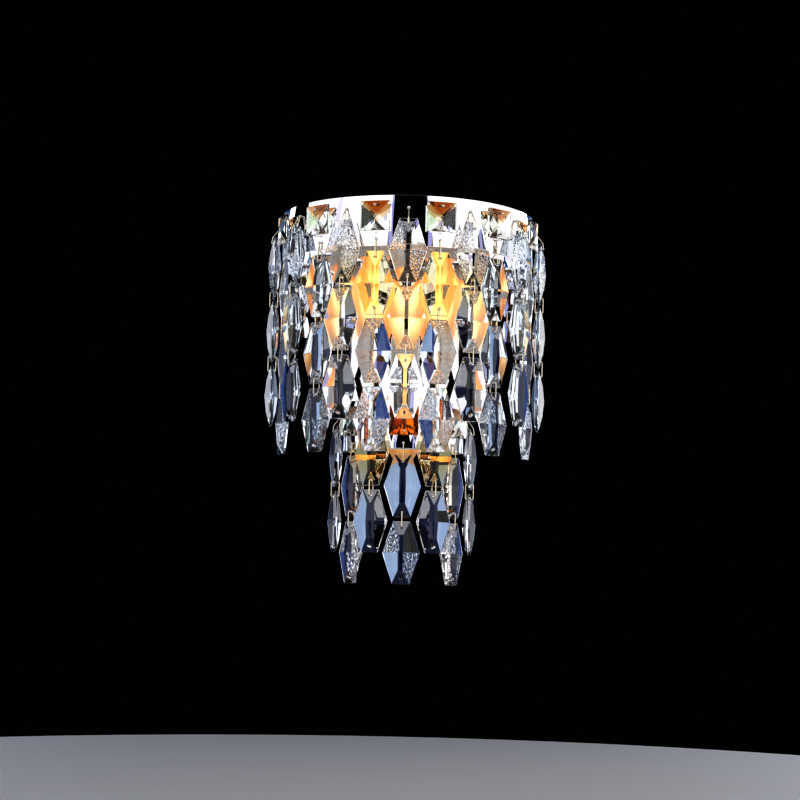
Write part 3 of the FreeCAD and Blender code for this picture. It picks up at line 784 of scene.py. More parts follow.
CHROME = Coated(
    "polished_chrome", "mirror_chrome", (0.93, 0.935, 0.95), 0.02, metallic=1, scale=25, spread=0.03
)
WIRE = Coated("drawn_wire", "pin_wire", (0.97, 0.88, 0.70), 0.14, metallic=1, scale=400, spread=0.08)
BEAD = Coated("bead_plating", "pin_wire", (0.98, 0.97, 0.95), 0.22, metallic=1, scale=300, spread=0.05)
CLEAR = CutGlass("clear_crystal", "cut_crystal", (1, 1, 1), 0.0)
ICE = IceGlass("crackled_crystal", "cut_crystal", (1, 1, 1), 0.02, film=380)
ZINC = Coated("bright_zinc", "zinc_steel", (0.56, 0.57, 0.59), 0.30, metallic=1, scale=70, spread=0.02)
CERAMIC = Coated(
    "glazed_ceramic", "holder_ceramic", (0.86, 0.85, 0.81), 0.12, scale=50, spread=0.06, coat=0.6
)
LIT = LitGlass("lit_frosted_glass", "bulb_glass", (1.0, 0.82, 0.44), 0.35)
BRASS = Coated(
    "rolled_brass", "bulb_cap_metal", (0.83, 0.66, 0.38), 0.22, metallic=1, scale=150, spread=0.15
)
PLASTIC = Coated(
    "moulded_plastic", "terminal_plastic", (0.83, 0.83, 0.80), 0.42, scale=80, spread=0.1, bump=0.05
)
SHEATH = Coated("lead_sheath_smooth", "lead_sheath", (0.80, 0.80, 0.77), 0.38, scale=120, spread=0.1)
RUBBER = Coated("black_rubber", "grommet_rubber", (0.03, 0.03, 0.03), 0.55, scale=150, spread=0.2, bump=0.1)
FLOOR = Finish("pale_floor", "", (0.72, 0.72, 0.73), 0.7)


# ------------------------------------------------------------------ colours and painted light

# Painted amber lamplight, mixed into the crystals' colour where the lamps' light leaves the curtain on
# either side: (middle, reach, colour)
GLOWS = (
    (Vector((0.030, -0.108, 0.012)), 0.036, Vector((1.0, 0.86, 0.50))),
    (Vector((0.031, -0.060, -0.124)), 0.026, Vector((1.0, 0.74, 0.28))),
    (Vector((0.000, -0.066, -0.098)), 0.026, Vector((1.0, 0.66, 0.24))),
)
GLOW_STEEPNESS = 2          # a painted glow has its full depth from its middle out to half its reach
MIDDLE_TINT = Vector((0.98, 0.985, 1.0))
# Painted cool light, mixed into the crystals' colour towards the sides
SIDE_PAINTED_LIGHT = Vector((0.82, 0.91, 1.0))
SIDE_START, SIDE_FADE = 45 * MM, 50 * MM
# Painted light on the square crystals: amber lamplight on the middle one of the lower band, warm brown
# lamplight on upper facets and greenish light on left facets; the last colour is clear glass
PAINTED_LAMP_AMBER, PAINTED_LAMP_DEEP_AMBER = (1.0, 0.52, 0.14), (0.80, 0.26, 0.04)
PAINTED_WARM_TOP, PAINTED_GREEN_LEFT, COLOURLESS = (0.62, 0.34, 0.16), (0.78, 0.86, 0.74), (0.97, 0.98, 0.97)


def crystal_tint_and_light(place: Vector) -> Colour:
    """The glass's faint colour with painted light: painted cool light at the sides, and painted amber
    lamplight where the lamps shine through it.

    Args:
        place: A place in the frame.

    Returns:
        The colour, with the painted light.
    """
    side = min(1.0, max(0.0, (abs(place.x) - SIDE_START) / SIDE_FADE))
    tint = MIDDLE_TINT.lerp(SIDE_PAINTED_LIGHT, side)
    mirrored = Vector((abs(place.x), place.y, place.z))
    for middle, reach, colour in GLOWS:
        share = max(0.0, 1 - (mirrored - middle).length / reach)
        tint = tint.lerp(colour, min(1.0, GLOW_STEEPNESS * share))
    return tuple(tint)


def square_tint_and_light(place: Vector, middle: Vector) -> Colour:
    """A square crystal's facet colour: painted warm light above, painted greenish light on the left, clear
    glass elsewhere.

    The one in the middle of the lower band has painted amber lamplight all over, from the lamp behind it.

    Args:
        place: The facet's middle, from the crystal's own middle and upright.
        middle: The crystal's middle in the frame.

    Returns:
        The colour, clear glass or painted light.
    """
    above, left = place.z > abs(place.x) + MM, -place.x > abs(place.z) + MM
    if middle.z < 0 and abs(middle.x) < CM:
        return PAINTED_LAMP_DEEP_AMBER if above or left else PAINTED_LAMP_AMBER
    if above:
        return PAINTED_WARM_TOP
    return PAINTED_GREEN_LEFT if left else COLOURLESS


def tinted_and_lit(piece: Piece, shade: Callable[[Vector], Colour], by_facet: bool = False) -> Piece:
    """Writes the colour attribute that the crystal and lamp finishes read: painted light on the crystals,
    the glow along the lamps.

    Args:
        piece: The mesh object.
        shade: Takes a place on the piece and gives its colour.
        by_facet: True if each facet has one colour, its middle's, instead of one colour at each vertex.

    Returns:
        The same piece.
    """
    mesh = piece.data
    attribute = mesh.color_attributes.new(TINT_AND_LIGHT, "FLOAT_COLOR", "CORNER")
    for facet in mesh.polygons:
        for loop in facet.loop_indices:
            place = facet.center if by_facet else mesh.vertices[mesh.loops[loop].vertex_index].co
            attribute.data[loop].color = (*shade(place), 1)
    return piece


# ------------------------------------------------------------------ crystals


@dataclass
class CutCrystal:
    """What both crystals share: flat ground facets and a drilled hole near either end."""

    thickness: float
    hole_inset: float
    polish: float                   # rounding of the girdle and of the holes' rims
    girdle: float = 2 * MM
    hole_radius: float = 1 * MM

    def ground(self, name: str, size: Sequence[float], facets: Iterable[tuple[Vector, Vector]]) -> Piece:
        """Grinds, drills and polishes one crystal, its middle at the origin.

        Args:
            name: The object's name.
            size: Its width, thickness and height.
            facets: (point, outward normal) of every facet that is ground.

        Returns:
            The crystal, with both crystal materials.
        """
        corner = Vector(size) / 2
        crystal = block(name, -corner, corner)
        with editing(crystal):
            for point, normal in facets:
                bpy.ops.mesh.select_all(action="SELECT")
                plane = {"plane_co": point, "plane_no": normal.normalized()}
                bpy.ops.mesh.bisect(**plane, use_fill=True, clear_outer=True, threshold=WELD)
        holes = [Vector((0, 0, way * (size[2] / 2 - self.hole_inset))) for way in WAYS]
        drills = [rod("drill", self.hole_radius, self.thickness, hole, OUT, 20) for hole in holes]
        return painted(rounded(cut_away(crystal, drills), self.polish), CLEAR, ICE)


@dataclass
class LongCrystal(CutCrystal):
    """The long hexagonal crystal: on each face four main facets, two end facets and a ridge strip."""

    thickness: float = 11 * MM
    hole_inset: float = 5.2 * MM
    polish: float = 0.42 * MM
    length: float = 50 * MM
    width: float = 30 * MM
    end_width: float = 14 * MM
    ridge_width: float = 3 * MM
    end_facet: float = 11.5 * MM
    grain: float = 0.95 * MM        # width of the chips of a crackled facet
    chip_depth: float = 0.66 * MM
    chip_lean: float = 0.7          # share of the chips' unevenness that is along the facet's normal
    front_least: float = 0.8        # least part of a front facet's normal that faces out
    main_tilt: float = 0.15         # least part that faces aside on a main facet, or up on an end facet
    end_tilt: float = 0.05          # largest part that faces aside on an end facet

    def surface(self, x: float, z: float) -> float:
        """Half thickness at a place on a main facet.

        Args:
            x: The place beside the middle.
            z: The place above the middle.

        Returns:
            The half thickness.
        """
        half, taper = self.length / 2, (self.width - self.end_width) / 2
        reach = (self.width / 2 - x) * half - taper * z
        full = (self.width - self.ridge_width) / 2 * half
        return self.girdle / 2 + (self.thickness - self.girdle) / 2 * reach / full

    def hole_depth(self) -> float:
        """Thickness of the glass at a drilled hole."""
        tip = self.surface(self.ridge_width / 2, self.length / 2 - self.end_facet)
        return self.girdle + 2 * self.hole_inset / self.end_facet * (tip - self.girdle / 2)

    def facets(self) -> Iterator[tuple[Vector, Vector]]:
        """Finds every facet that is ground.

        Returns:
            (point, outward normal) of one facet after another.
        """
        half, side, end = self.length / 2, self.width / 2, self.end_width / 2
        edge, ridge = self.girdle / 2, self.ridge_width / 2
        middle, tip = self.surface(ridge, 0), self.surface(ridge, half - self.end_facet)
        steep = (self.thickness - self.girdle) / 2 / ((side - ridge) * half)
        for up in WAYS:
            for across in WAYS:
                yield Vector((across * side, 0, 0)), Vector((across * half, 0, up * (side - end)))
            for face in WAYS:
                fall = (middle - tip) / (half - self.end_facet)
                yield Vector((0, face * middle, 0)), Vector((0, face, up * fall))
                fall = (tip - edge) / self.end_facet
                yield Vector((0, face * edge, up * half)), Vector((0, face, up * fall))
                for across in WAYS:
                    normal = Vector((across * steep * half, face, up * steep * (side - end)))
                    yield Vector((across * side, face * edge, 0)), normal

    def build(self, cut: Cut) -> Piece:
        """Makes one crystal and crackles the front facets that its cut names.

        Args:
            cut: Which facets are crackled.

        Returns:
            The crystal, its middle at the origin.
        """
        crystal = self.ground("long_crystal", (self.width, self.thickness, self.length), self.facets())
        for facet in crystal.data.polygons:
            aside, up = facet.normal.x, facet.normal.z
            main, end = abs(aside) > self.main_tilt, abs(aside) < self.end_tilt and abs(up) > self.main_tilt
            crackled = (cut is Cut.TWO_ICE and main and aside * up < 0) or (cut is Cut.END_ICE and end)
            if crackled and -facet.normal.y >= self.front_least:
                facet.material_index = Facet.ICE.value
        if cut is not Cut.ALL_CLEAR:
            self.chip(crystal)
        return crystal

    def chip(self, crystal: Piece) -> None:
        """Breaks the crackled facets into small chips of uneven height, inside their rims.

        Args:
            crystal: The crystal, its crackled facets marked by their material.
        """
        def is_ice(face: bmesh.types.BMFace) -> bool:
            """Says whether a facet is crackled."""
            return face.material_index == Facet.ICE.value

        reach = int((self.length + self.width) / 2 / self.grain)
        with editing(crystal):
            for slant in WAYS:
                for step in range(-reach, reach + 1):
                    pick(crystal, "FACE", is_ice)
                    foot = (0, 0, step * self.grain * math.sqrt(2))
                    bpy.ops.mesh.bisect(plane_co=foot, plane_no=(slant, 0, 1), threshold=WELD)
            pick(crystal, "FACE", is_ice)
            bpy.ops.mesh.quads_convert_to_tris()
            pick(crystal, "VERT", lambda vertex: all(map(is_ice, vertex.link_faces)))
            bpy.ops.transform.shrink_fatten(value=-self.chip_depth / 2)
            bpy.ops.transform.vertex_random(offset=self.chip_depth, normal=self.chip_lean, seed=3)


@dataclass
class SquareCrystal(CutCrystal):
    """The square crystal: four facets that meet in the middle, on both faces."""

    thickness: float = 8 * MM
    hole_inset: float = 3.5 * MM
    polish: float = 0.35 * MM
    side: float = 23.5 * MM

    def facets(self) -> Iterator[tuple[Vector, Vector]]:
        """Finds every facet that is ground.

        Returns:
            (point, outward normal) of one facet after another.
        """
        half, edge = self.side / 2, self.girdle / 2
        fall = (self.thickness / 2 - edge) / half
        for face in WAYS:
            for way in WAYS:
                yield Vector((way * half, face * edge, 0)), Vector((way * fall, face, 0))
                yield Vector((0, face * edge, way * half)), Vector((0, face, way * fall))

    def build(self) -> Piece:
        """Makes one crystal, its middle at the origin."""
        return self.ground("square_crystal", (self.side, self.thickness, self.side), self.facets())


# ------------------------------------------------------------------ wires


@dataclass
class Wirework:
    """Pins, beads and links. Paths are (out, up) corners from the pin's hole in the band's sheet."""

    crystal: LongCrystal
    square: SquareCrystal
    band_sheet: float = 1 * MM
    wire: float = 0.9 * MM
    bead_radius: float = 1.1 * MM
    bead_stand_off: float = 0.7 * MM
    bead_length: float = 2 * MM
    tail: float = 3 * MM
    tail_stand_off: float = 0.65 * MM
    tail_bend: float = 1.0 * MM
    pin_bend: float = 1.1 * MM
    link_bend: float = 1.2 * MM
    clearance: float = 0.35 * MM
    seat: float = 0.3 * MM          # a loaded wire lies this far off the middle of its hole
    drop: float = 9.5 * MM          # from the pin's hole to the first crystal's end
    gap: float = 3 * MM             # from one crystal's end to the next one's
    band_edge: float = 5.3 * MM     # from a lower hole to the band's lower edge
    edge_share: float = 0.6         # of the wire, from its middle line to the clearance beside that edge
    stand_off: float = 0.5 * MM     # middle of a string below the band, out from the band's face

    def offset(self, hang: Hang) -> float:
        """Middle of a string, out from the middle of the band's sheet."""
        out = self.seat + self.crystal.thickness / 2 if hang is Hang.IN_FRONT else self.stand_off
        return self.band_sheet / 2 + out

    def square_offset(self) -> float:
        """Middle of a square crystal, out from the middle of the band's sheet."""
        return self.band_sheet / 2 + self.seat + self.square.thickness / 2

    def tail_path(self, reach: float) -> list[Vector]:
        """The wire from in front of the band, through its hole and up behind it."""
        behind = -(self.band_sheet / 2 + self.tail_stand_off + self.wire / 2)
        return with_bends(side_path([(reach, 0), (behind, 0), (behind, self.tail)]), self.tail_bend)

    def bead(self, middle: float) -> Piece:
        """Makes a round bead that is threaded on a pin.

        Args:
            middle: How far out its middle is.

        Returns:
            The bead.
        """
        pose = {"radius": self.bead_radius, "location": OUT * middle, "rotation": (math.pi / 2, 0, 0)}
        bead = added("bead", bpy.ops.mesh.primitive_uv_sphere_add, segments=18, ring_count=10, **pose)
        return painted(smooth(bead, 60), BEAD)

    def pin(self, hang: Hang) -> Piece:
        """A string's pin: tail, bead and a hairpin loop down to the first crystal's hole.

        Args:
            hang: Whether the string hangs in front of the band or below it.

        Returns:
            The pin with its bead, its hole at the origin.
        """
        middle, half = self.offset(hang), self.wire / 2
        apex = self.band_sheet / 2 + self.bead_stand_off + self.bead_length / 2
        reach = self.crystal.hole_depth() / 2 + self.clearance + half
        bar = self.seat - self.drop - self.crystal.hole_inset
        knee = self.wire - self.drop
        passing = self.crystal.girdle / 2 + self.clearance + self.wire
        loop = [(apex, 0), (middle + passing, knee), (middle + reach, bar), (middle - reach, bar)]
        if hang is Hang.IN_FRONT:
            loop.append((middle - passing, knee))
        else:
            beside_edge = self.band_sheet / 2 + self.clearance + self.wire * self.edge_share
            loop += [(middle - reach, knee), (beside_edge, -self.band_edge - half)]
        legs = bent_wire("pin_loop", with_bends(side_path(loop), self.pin_bend, True), half, True)
        tail = bent_wire("pin_tail", self.tail_path(apex), half)
        parts = [painted(legs, WIRE), painted(tail, WIRE), self.bead(apex)]
        return joined("pin_" + hang.name.lower(), parts)

    def link(self) -> Piece:
        """The closed link between two crystals.

        Returns:
            The link, its middle at the origin.
        """
        out = self.crystal.hole_depth() / 2 + self.clearance + self.wire / 2
        up = self.gap / 2 + self.crystal.hole_inset - self.seat
        corners = side_path([(-out, up), (out, up), (out, -up), (-out, -up)])
        path = with_bends(corners, self.link_bend, True)
        return painted(bent_wire("link", path, self.wire / 2, True), WIRE)

    def square_pin(self) -> Piece:
        """Pin of a square crystal: a bead in front of it and a tail behind the band.

        Returns:
            The pin with its bead, its hole at the origin.
        """
        share = self.square.hole_inset / (self.square.side / 2)
        depth = self.square.girdle + share * (self.square.thickness - self.square.girdle)
        front = self.square_offset() + depth / 2 + self.seat + self.bead_length / 2
        shaft = bent_wire("square_shaft", self.tail_path(front), self.wire / 2)
        return joined("square_pin", [painted(shaft, WIRE), self.bead(front)])


# ------------------------------------------------------------------ tiers

# Which crystals of a string have crackled facets: tier, where it hangs, and place from the top
CUTS = {
    ("upper", Hang.IN_FRONT, 0): Cut.TWO_ICE,
    ("upper", Hang.IN_FRONT, 1): Cut.END_ICE,
    ("upper", Hang.BELOW, 1): Cut.END_ICE,
    ("upper", Hang.BELOW, 2): Cut.TWO_ICE,
    ("lower", Hang.BELOW, 1): Cut.TWO_ICE,
}


@dataclass
class Patterns:
    """What repeats: each crystal and wire is modelled once."""

    crystals: dict[Cut, Piece]
    pins: dict[Hang, Piece]
    link: Piece
    square: Piece
    square_pin: Piece

    @classmethod
    def of(cls, wirework: Wirework) -> "Patterns":
        """Models the patterns.

        Args:
            wirework: The wires and the crystals.

        Returns:
            The patterns.
        """
        crystals = {cut: wirework.crystal.build(cut) for cut in Cut}
        pins = {hang: wirework.pin(hang) for hang in Hang}
        return cls(crystals, pins, wirework.link(), wirework.square.build(), wirework.square_pin())

    def clear(self) -> None:
        """Removes the patterns once everything is copied."""
        discard(*self.crystals.values(), *self.pins.values(), self.link, self.square, self.square_pin)


@dataclass(frozen=True)
class Column:
    """One column of a tier: where its string's pin goes through the band."""

    body: str
    hole: Vector
    angle: float
    hang: Hang

    def place(self, out: float = 0, up: float = 0) -> Matrix:
        """The move from a pattern to this column, out from the band's sheet and up from the pin's hole."""
        turn = Matrix.Rotation(self.angle, 4, "Z")
        return Matrix.Translation(self.hole) @ turn @ Matrix.Translation((0, -out, up))


@dataclass
class Tier:
    """One mirror band with its strings, from the frame's band and joints."""

    name: str
    crystals: int
    wirework: Wirework
    row_spacing: float = 24.7 * MM
    square_rise: float = 17.6 * MM  # middle of a square crystal over the pin below it
    tab_length: float = 12 * MM
    plate_reveal: float = 4 * MM
    rim: float = 0.22 * MM          # rounding of the sheet's edges
    pin_hole: float = 1.0 * MM
    square_pin_hole: float = 0.8 * MM
    screw_hole: float = 1.6 * MM
    drill: float = 6 * MM           # length of the cutters
    arc_sides: int = 256            # sides of the full circle that the band is half of

    def columns(self) -> Iterator[Column]:
        """Finds the tier's columns by the frame's joints.

        Returns:
            One column after another, from left to right.
        """
        joints = [joint for joint in frame["joints"] if joint["child"].startswith(self.name)]
        upper_row = max(joint["pos_m"][2] for joint in joints)
        for joint in joints:
            hole, axis = Vector(joint["pos_m"]), joint["axis"]
            hang = Hang.IN_FRONT if upper_row - hole.z < self.row_spacing / 2 else Hang.BELOW
            yield Column(joint["child"], hole, math.atan2(-axis[1], -axis[0]), hang)

    def over_pins(self, out: float, *shifts: float) -> list[Matrix]:
        """The moves to heights above the middle of each square crystal, which is over a lower pin."""
        below = [column for column in self.columns() if column.hang is Hang.BELOW]
        return [column.place(out, self.square_rise + shift) for column in below for shift in shifts]

    def square_pin_places(self) -> list[Matrix]:
        """Where the square crystals' pins go through the band."""
        hole = self.wirework.square.side / 2 - self.wirework.square.hole_inset
        return self.over_pins(0, -hole, hole)

    def tab_screws(self) -> list[Vector]:
        """Finds where screws hold the band's end tabs.

        Returns:
            The places, on the back plate's front.
        """
        low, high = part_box(self.name + "_band")
        x = high.x - (self.tab_length + self.plate_reveal) / 2
        return [Vector((side * x, high.y, (low.z + high.z) / 2)) for side in WAYS]

    def build_band(self) -> Piece:
        """Bends the band from sheet, folds its end tabs, rounds its rims and drills it.

        Returns:
            The band.
        """
        low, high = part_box(self.name + "_band")
        sheet = self.wirework.band_sheet
        centre, end = Vector((0, high.y, (low.z + high.z) / 2)), high.y - sheet / 2
        ring = {"radius": high.x - sheet / 2, "depth": high.z - low.z, "vertices": self.arc_sides}
        add = bpy.ops.mesh.primitive_cylinder_add
        band = added("band_sheet", add, end_fill_type="NOTHING", location=centre, **ring)
        with editing(band):
            bpy.ops.mesh.bisect(plane_co=(0, end, 0), plane_no=(0, 1, 0), clear_outer=True, threshold=WELD)
            for side in WAYS:
                near = high.x - 2 * sheet
                pick(band, "VERT", lambda at: abs(at.co.y - end) < WELD and side * at.co.x > near)
                fold = Vector((-side * (self.tab_length - sheet / 2), 0, 0))
                bpy.ops.mesh.extrude_edges_move(TRANSFORM_OT_translate={"value": fold})
            bpy.ops.mesh.select_all(action="SELECT")
            bpy.ops.mesh.normals_make_consistent(inside=False)
        modified(band, "SOLIDIFY", thickness=sheet, offset=0, use_even_offset=True)
        rounded(band, self.rim, 60)
        return smooth(cut_away(band, self.drills(centre, end)))

    def drills(self, centre: Vector, end: float) -> list[Piece]:
        """Cutters for the holes of pins, square pins and screws.

        Args:
            centre: Middle of the band's circle.
            end: How far back the end tabs lie.

        Returns:
            The cutters.
        """
        level = Vector((1, 1, 0))
        pins = [column.hole for column in self.columns()]
        squares = [place.to_translation() for place in self.square_pin_places()]
        screws = [Vector((screw.x, end, screw.z)) for screw in self.tab_screws()]
        tools = [
            rod("drill", radius, self.drill, hole, (hole - centre) * level, sides)
            for radius, sides, holes in ((self.pin_hole, 20, pins), (self.square_pin_hole, 16, squares))
            for hole in holes
        ]
        return tools + [rod("drill", self.screw_hole, self.drill, screw, -OUT, 20) for screw in screws]

    def hang_strings(self, patterns: Patterns) -> None:
        """Hangs every string: its crystals and its wires, on the string's own body.

        Args:
            patterns: The crystals and wires that are copied.
        """
        length = self.wirework.crystal.length
        first, pitch = -self.wirework.drop - length / 2, length + self.wirework.gap
        for column in self.columns():
            name, out = column.body, self.wirework.offset(column.hang)
            glass, wires = [], [copied(patterns.pins[column.hang], column.place())]
            for place in range(self.crystals):
                cut = CUTS.get((self.name, column.hang, place), Cut.ALL_CLEAR)
                crystal = copied(patterns.crystals[cut], column.place(out, first - place * pitch))
                # each crystal's colour carries painted amber lamplight and painted cool light, by its place
                glass.append(tinted_and_lit(crystal, crystal_tint_and_light))
                if place:
                    wires.append(copied(patterns.link, column.place(out, first - (place - 0.5) * pitch)))
            dressed(joined("string", glass), name + "_cut_crystals", CLEAR, name + "_crystals", body=name)
            bpy.ops.object.material_slot_remove_unused()
            dressed(joined("wires", wires), name + "_bent_wires", WIRE, name + "_wires", body=name)


@dataclass
class CrystalCurtain:
    """Both tiers: bands, strings, and the square crystals pinned on the bands."""

    tiers: Sequence[Tier]
    wirework: Wirework

    def build(self) -> None:
        """Builds the bands and hangs everything on them."""
        patterns, glass, pins = Patterns.of(self.wirework), [], []
        for tier in self.tiers:
            dressed(tier.build_band(), tier.name + "_mirror_band", CHROME, tier.name + "_band")
            tier.hang_strings(patterns)
        for tier in self.tiers:
            for place in tier.over_pins(self.wirework.square_offset(), 0):
                square, upright = copied(patterns.square, place), place.inverted()
                # each square crystal's facets carry painted light, by their place and which way they face
                glass.append(
                    tinted_and_lit(square, lambda at: square_tint_and_light(upright @ at, place.translation), by_facet=True)
                )
            pins += [copied(patterns.square_pin, place) for place in tier.square_pin_places()]
        dressed(joined("squares", glass), "square_cut_crystals", CLEAR, "square_crystals")
        bpy.ops.object.material_slot_remove_unused()
        dressed(joined("pins", pins), "square_bent_pins", WIRE, "square_pins")
        patterns.clear()


# ------------------------------------------------------------------ lamps


@dataclass
class LampSet:
    """The three candle lamps in their holders, hung under the brackets' shelves."""

    holder_length: float = 36 * MM
    holder_radius: float = 12 * MM
    shoulder: float = 1 * MM        # chamfer at the holder's top
    skirt_radius: float = 13.5 * MM
    skirt_length: float = 8 * MM
    crown: float = 9 * MM           # closed part above the bore
    ribs: int = 3
    rib_pitch: float = 5 * MM
    groove: float = 0.6 * MM        # depth of a groove between ribs, and height of its slopes
    groove_floor: float = 1 * MM
    rounding: float = 0.3 * MM
    nipple_radius: float = 5 * MM
    nipple_height: float = 3 * MM
    nipple_rim: float = 1.2 * MM
    shelf_sheet: float = 1.5 * MM
    cap_radius: float = 6.9 * MM
    cap_length: float = 24 * MM
    threads: int = 6
    thread_depth: float = 0.7 * MM
    contact_radius: float = 3.5 * MM
    contact_height: float = 2 * MM
    cone: float = 1 * MM            # how much wider the insulating cone is than the contact
    cap_skirt: float = 3 * MM       # the cap's foot below its thread
    skirt_flare: float = 0.4 * MM
    clearance: float = 0.3 * MM
    neck_radius: float = 8.5 * MM
    neck_length: float = 6 * MM
    bulge_radius: float = 17.5 * MM
    bulge_drop: float = 30 * MM
    glass_length: float = 76 * MM
    mouth_length: float = 7 * MM
    shoulder_power: float = 1.2     # how late the glass widens below its neck
    tip_power: float = 2.2          # how late it narrows below the bulge
    tip_round: float = 0.78         # how blunt its tip is
    rings: int = 26                 # rings of faces along the glass
    crowding: float = 1.25          # how much closer the rings are near the tip
    glow_reach: float = 33 * MM     # from the bulge to where the glow is faintest
    glow_fade: Sequence[Corner] = ((0.16, 1.0), (0.10, 1.3), (0.04, 1.6))  # colours' (least, power)

    def places(self) -> list[Vector]:
        """Finds where the lamps' axes meet the undersides of the shelves.

        Returns:
            The left, right and lower lamp's place.
        """
        low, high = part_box("bulb_glasses")
        spread, foot = high.x - self.bulge_radius, self.crown + self.clearance + self.cap_length
        upper_line, lower_line = low.y + self.bulge_radius, high.y - self.bulge_radius
        upper = [Vector((side * spread, upper_line, high.z + foot)) for side in WAYS]
        return [*upper, Vector((0, lower_line, low.z + self.glass_length + foot))]

    def holder(self) -> Piece:
        """A lampholder: nipple turned over on the shelf, ribbed body, skirt, bore and mouth.

        Returns:
            The holder, the shelf's underside at the origin.
        """
        inner, mouth = self.cap_radius + self.clearance, self.neck_radius + self.clearance
        foot = -self.holder_length
        skirt, mouth_top = foot + self.skirt_length, foot + self.mouth_length
        body, rim = self.holder_radius, self.nipple_radius + self.nipple_rim
        ribs, floor = [], self.groove + self.groove_floor
        for rib in range(self.ribs):
            height = -self.crown - rib * self.rib_pitch
            ribs += [(body, height), (body - self.groove, height - self.groove)]
            ribs += [(body - self.groove, height - floor), (body, height - floor - self.groove)]
        profile = [
            (0, self.nipple_height), (rim, self.nipple_height), (rim, self.shelf_sheet),
            (self.nipple_radius, self.shelf_sheet), (self.nipple_radius, 0), (body - self.shoulder, 0),
            (body, -self.shoulder), *ribs, (body, skirt),
            (self.skirt_radius, skirt), (self.skirt_radius, foot), (mouth, foot), (mouth, mouth_top),
            (inner, mouth_top), (inner, -self.crown), (0, -self.crown),
        ]
        return smooth(rounded(turned("holder", profile), self.rounding))

    def cap(self) -> Piece:
        """A lamp's screw cap: contact, insulating cone and rolled thread.

        Returns:
            The cap, in the holder's bore.
        """
        top, radius = -self.crown - self.clearance, self.cap_radius
        shell, foot = top - self.contact_height, top - self.cap_length
        step = (self.cap_length - self.contact_height - self.cap_skirt) / self.threads
        threads = thread(radius - self.thread_depth, radius, shell, -step, range(self.threads), peak=0.5)
        profile = [
            (0, top), (self.contact_radius, top), (self.contact_radius + self.cone, shell), *threads,
            (radius - self.skirt_flare, foot + self.cap_skirt), (radius, foot + self.cap_skirt * 2 / 3),
            (radius, foot), (0, foot),
        ]
        return smooth(turned("cap", profile), 45)

    def glass_radius(self, drop: float) -> float:
        """Radius of the candle-shaped glass.

        Args:
            drop: Distance below the top of its neck.

        Returns:
            The radius there.
        """
        if drop < self.neck_length:
            return self.neck_radius
        if drop < self.bulge_drop:
            share = (drop - self.neck_length) / (self.bulge_drop - self.neck_length)
            swell = math.sin(share * math.pi / 2) ** self.shoulder_power
            return self.neck_radius + (self.bulge_radius - self.neck_radius) * swell
        share = (drop - self.bulge_drop) / (self.glass_length - self.bulge_drop)
        return self.bulge_radius * max(0.0, 1 - share**self.tip_power) ** self.tip_round

    def glass(self) -> Piece:
        """A lamp's glass: neck, bulge and tip, with its glow in the colour attribute.

        Returns:
            The glass, in the holder's mouth.
        """
        foot = -self.crown - self.clearance - self.cap_length
        shares = [1 - (1 - ring / self.rings) ** self.crowding for ring in range(self.rings + 1)]
        drops = [self.glass_length * share for share in shares]
        profile = [(0, foot)] + [(self.glass_radius(drop), foot - drop) for drop in drops]

        def glow(place: Vector) -> Colour:
            """Full at the bulge, where the filament is, and less towards the ends."""
            share = max(0.0, 1 - ((place.z - foot + self.bulge_drop) / self.glow_reach) ** 2)
            return tuple(least + (1 - least) * share**power for least, power in self.glow_fade)

        return tinted_and_lit(smooth(turned("glass", profile, 32), 60), glow)

    def build(self) -> None:
        """Puts a holder, a cap and a glass in each of the three places."""
        places = [Matrix.Translation(place) for place in self.places()]
        dressed(repeated("holders", self.holder(), places), "glazed_lampholders", CERAMIC, "lampholders")
        dressed(repeated("caps", self.cap(), places), "threaded_bulb_caps", BRASS, "bulb_caps")
        dressed(repeated("glasses", self.glass(), places), "candle_bulb_glasses", LIT, "bulb_glasses")


# ------------------------------------------------------------------ back plate, brackets and wiring


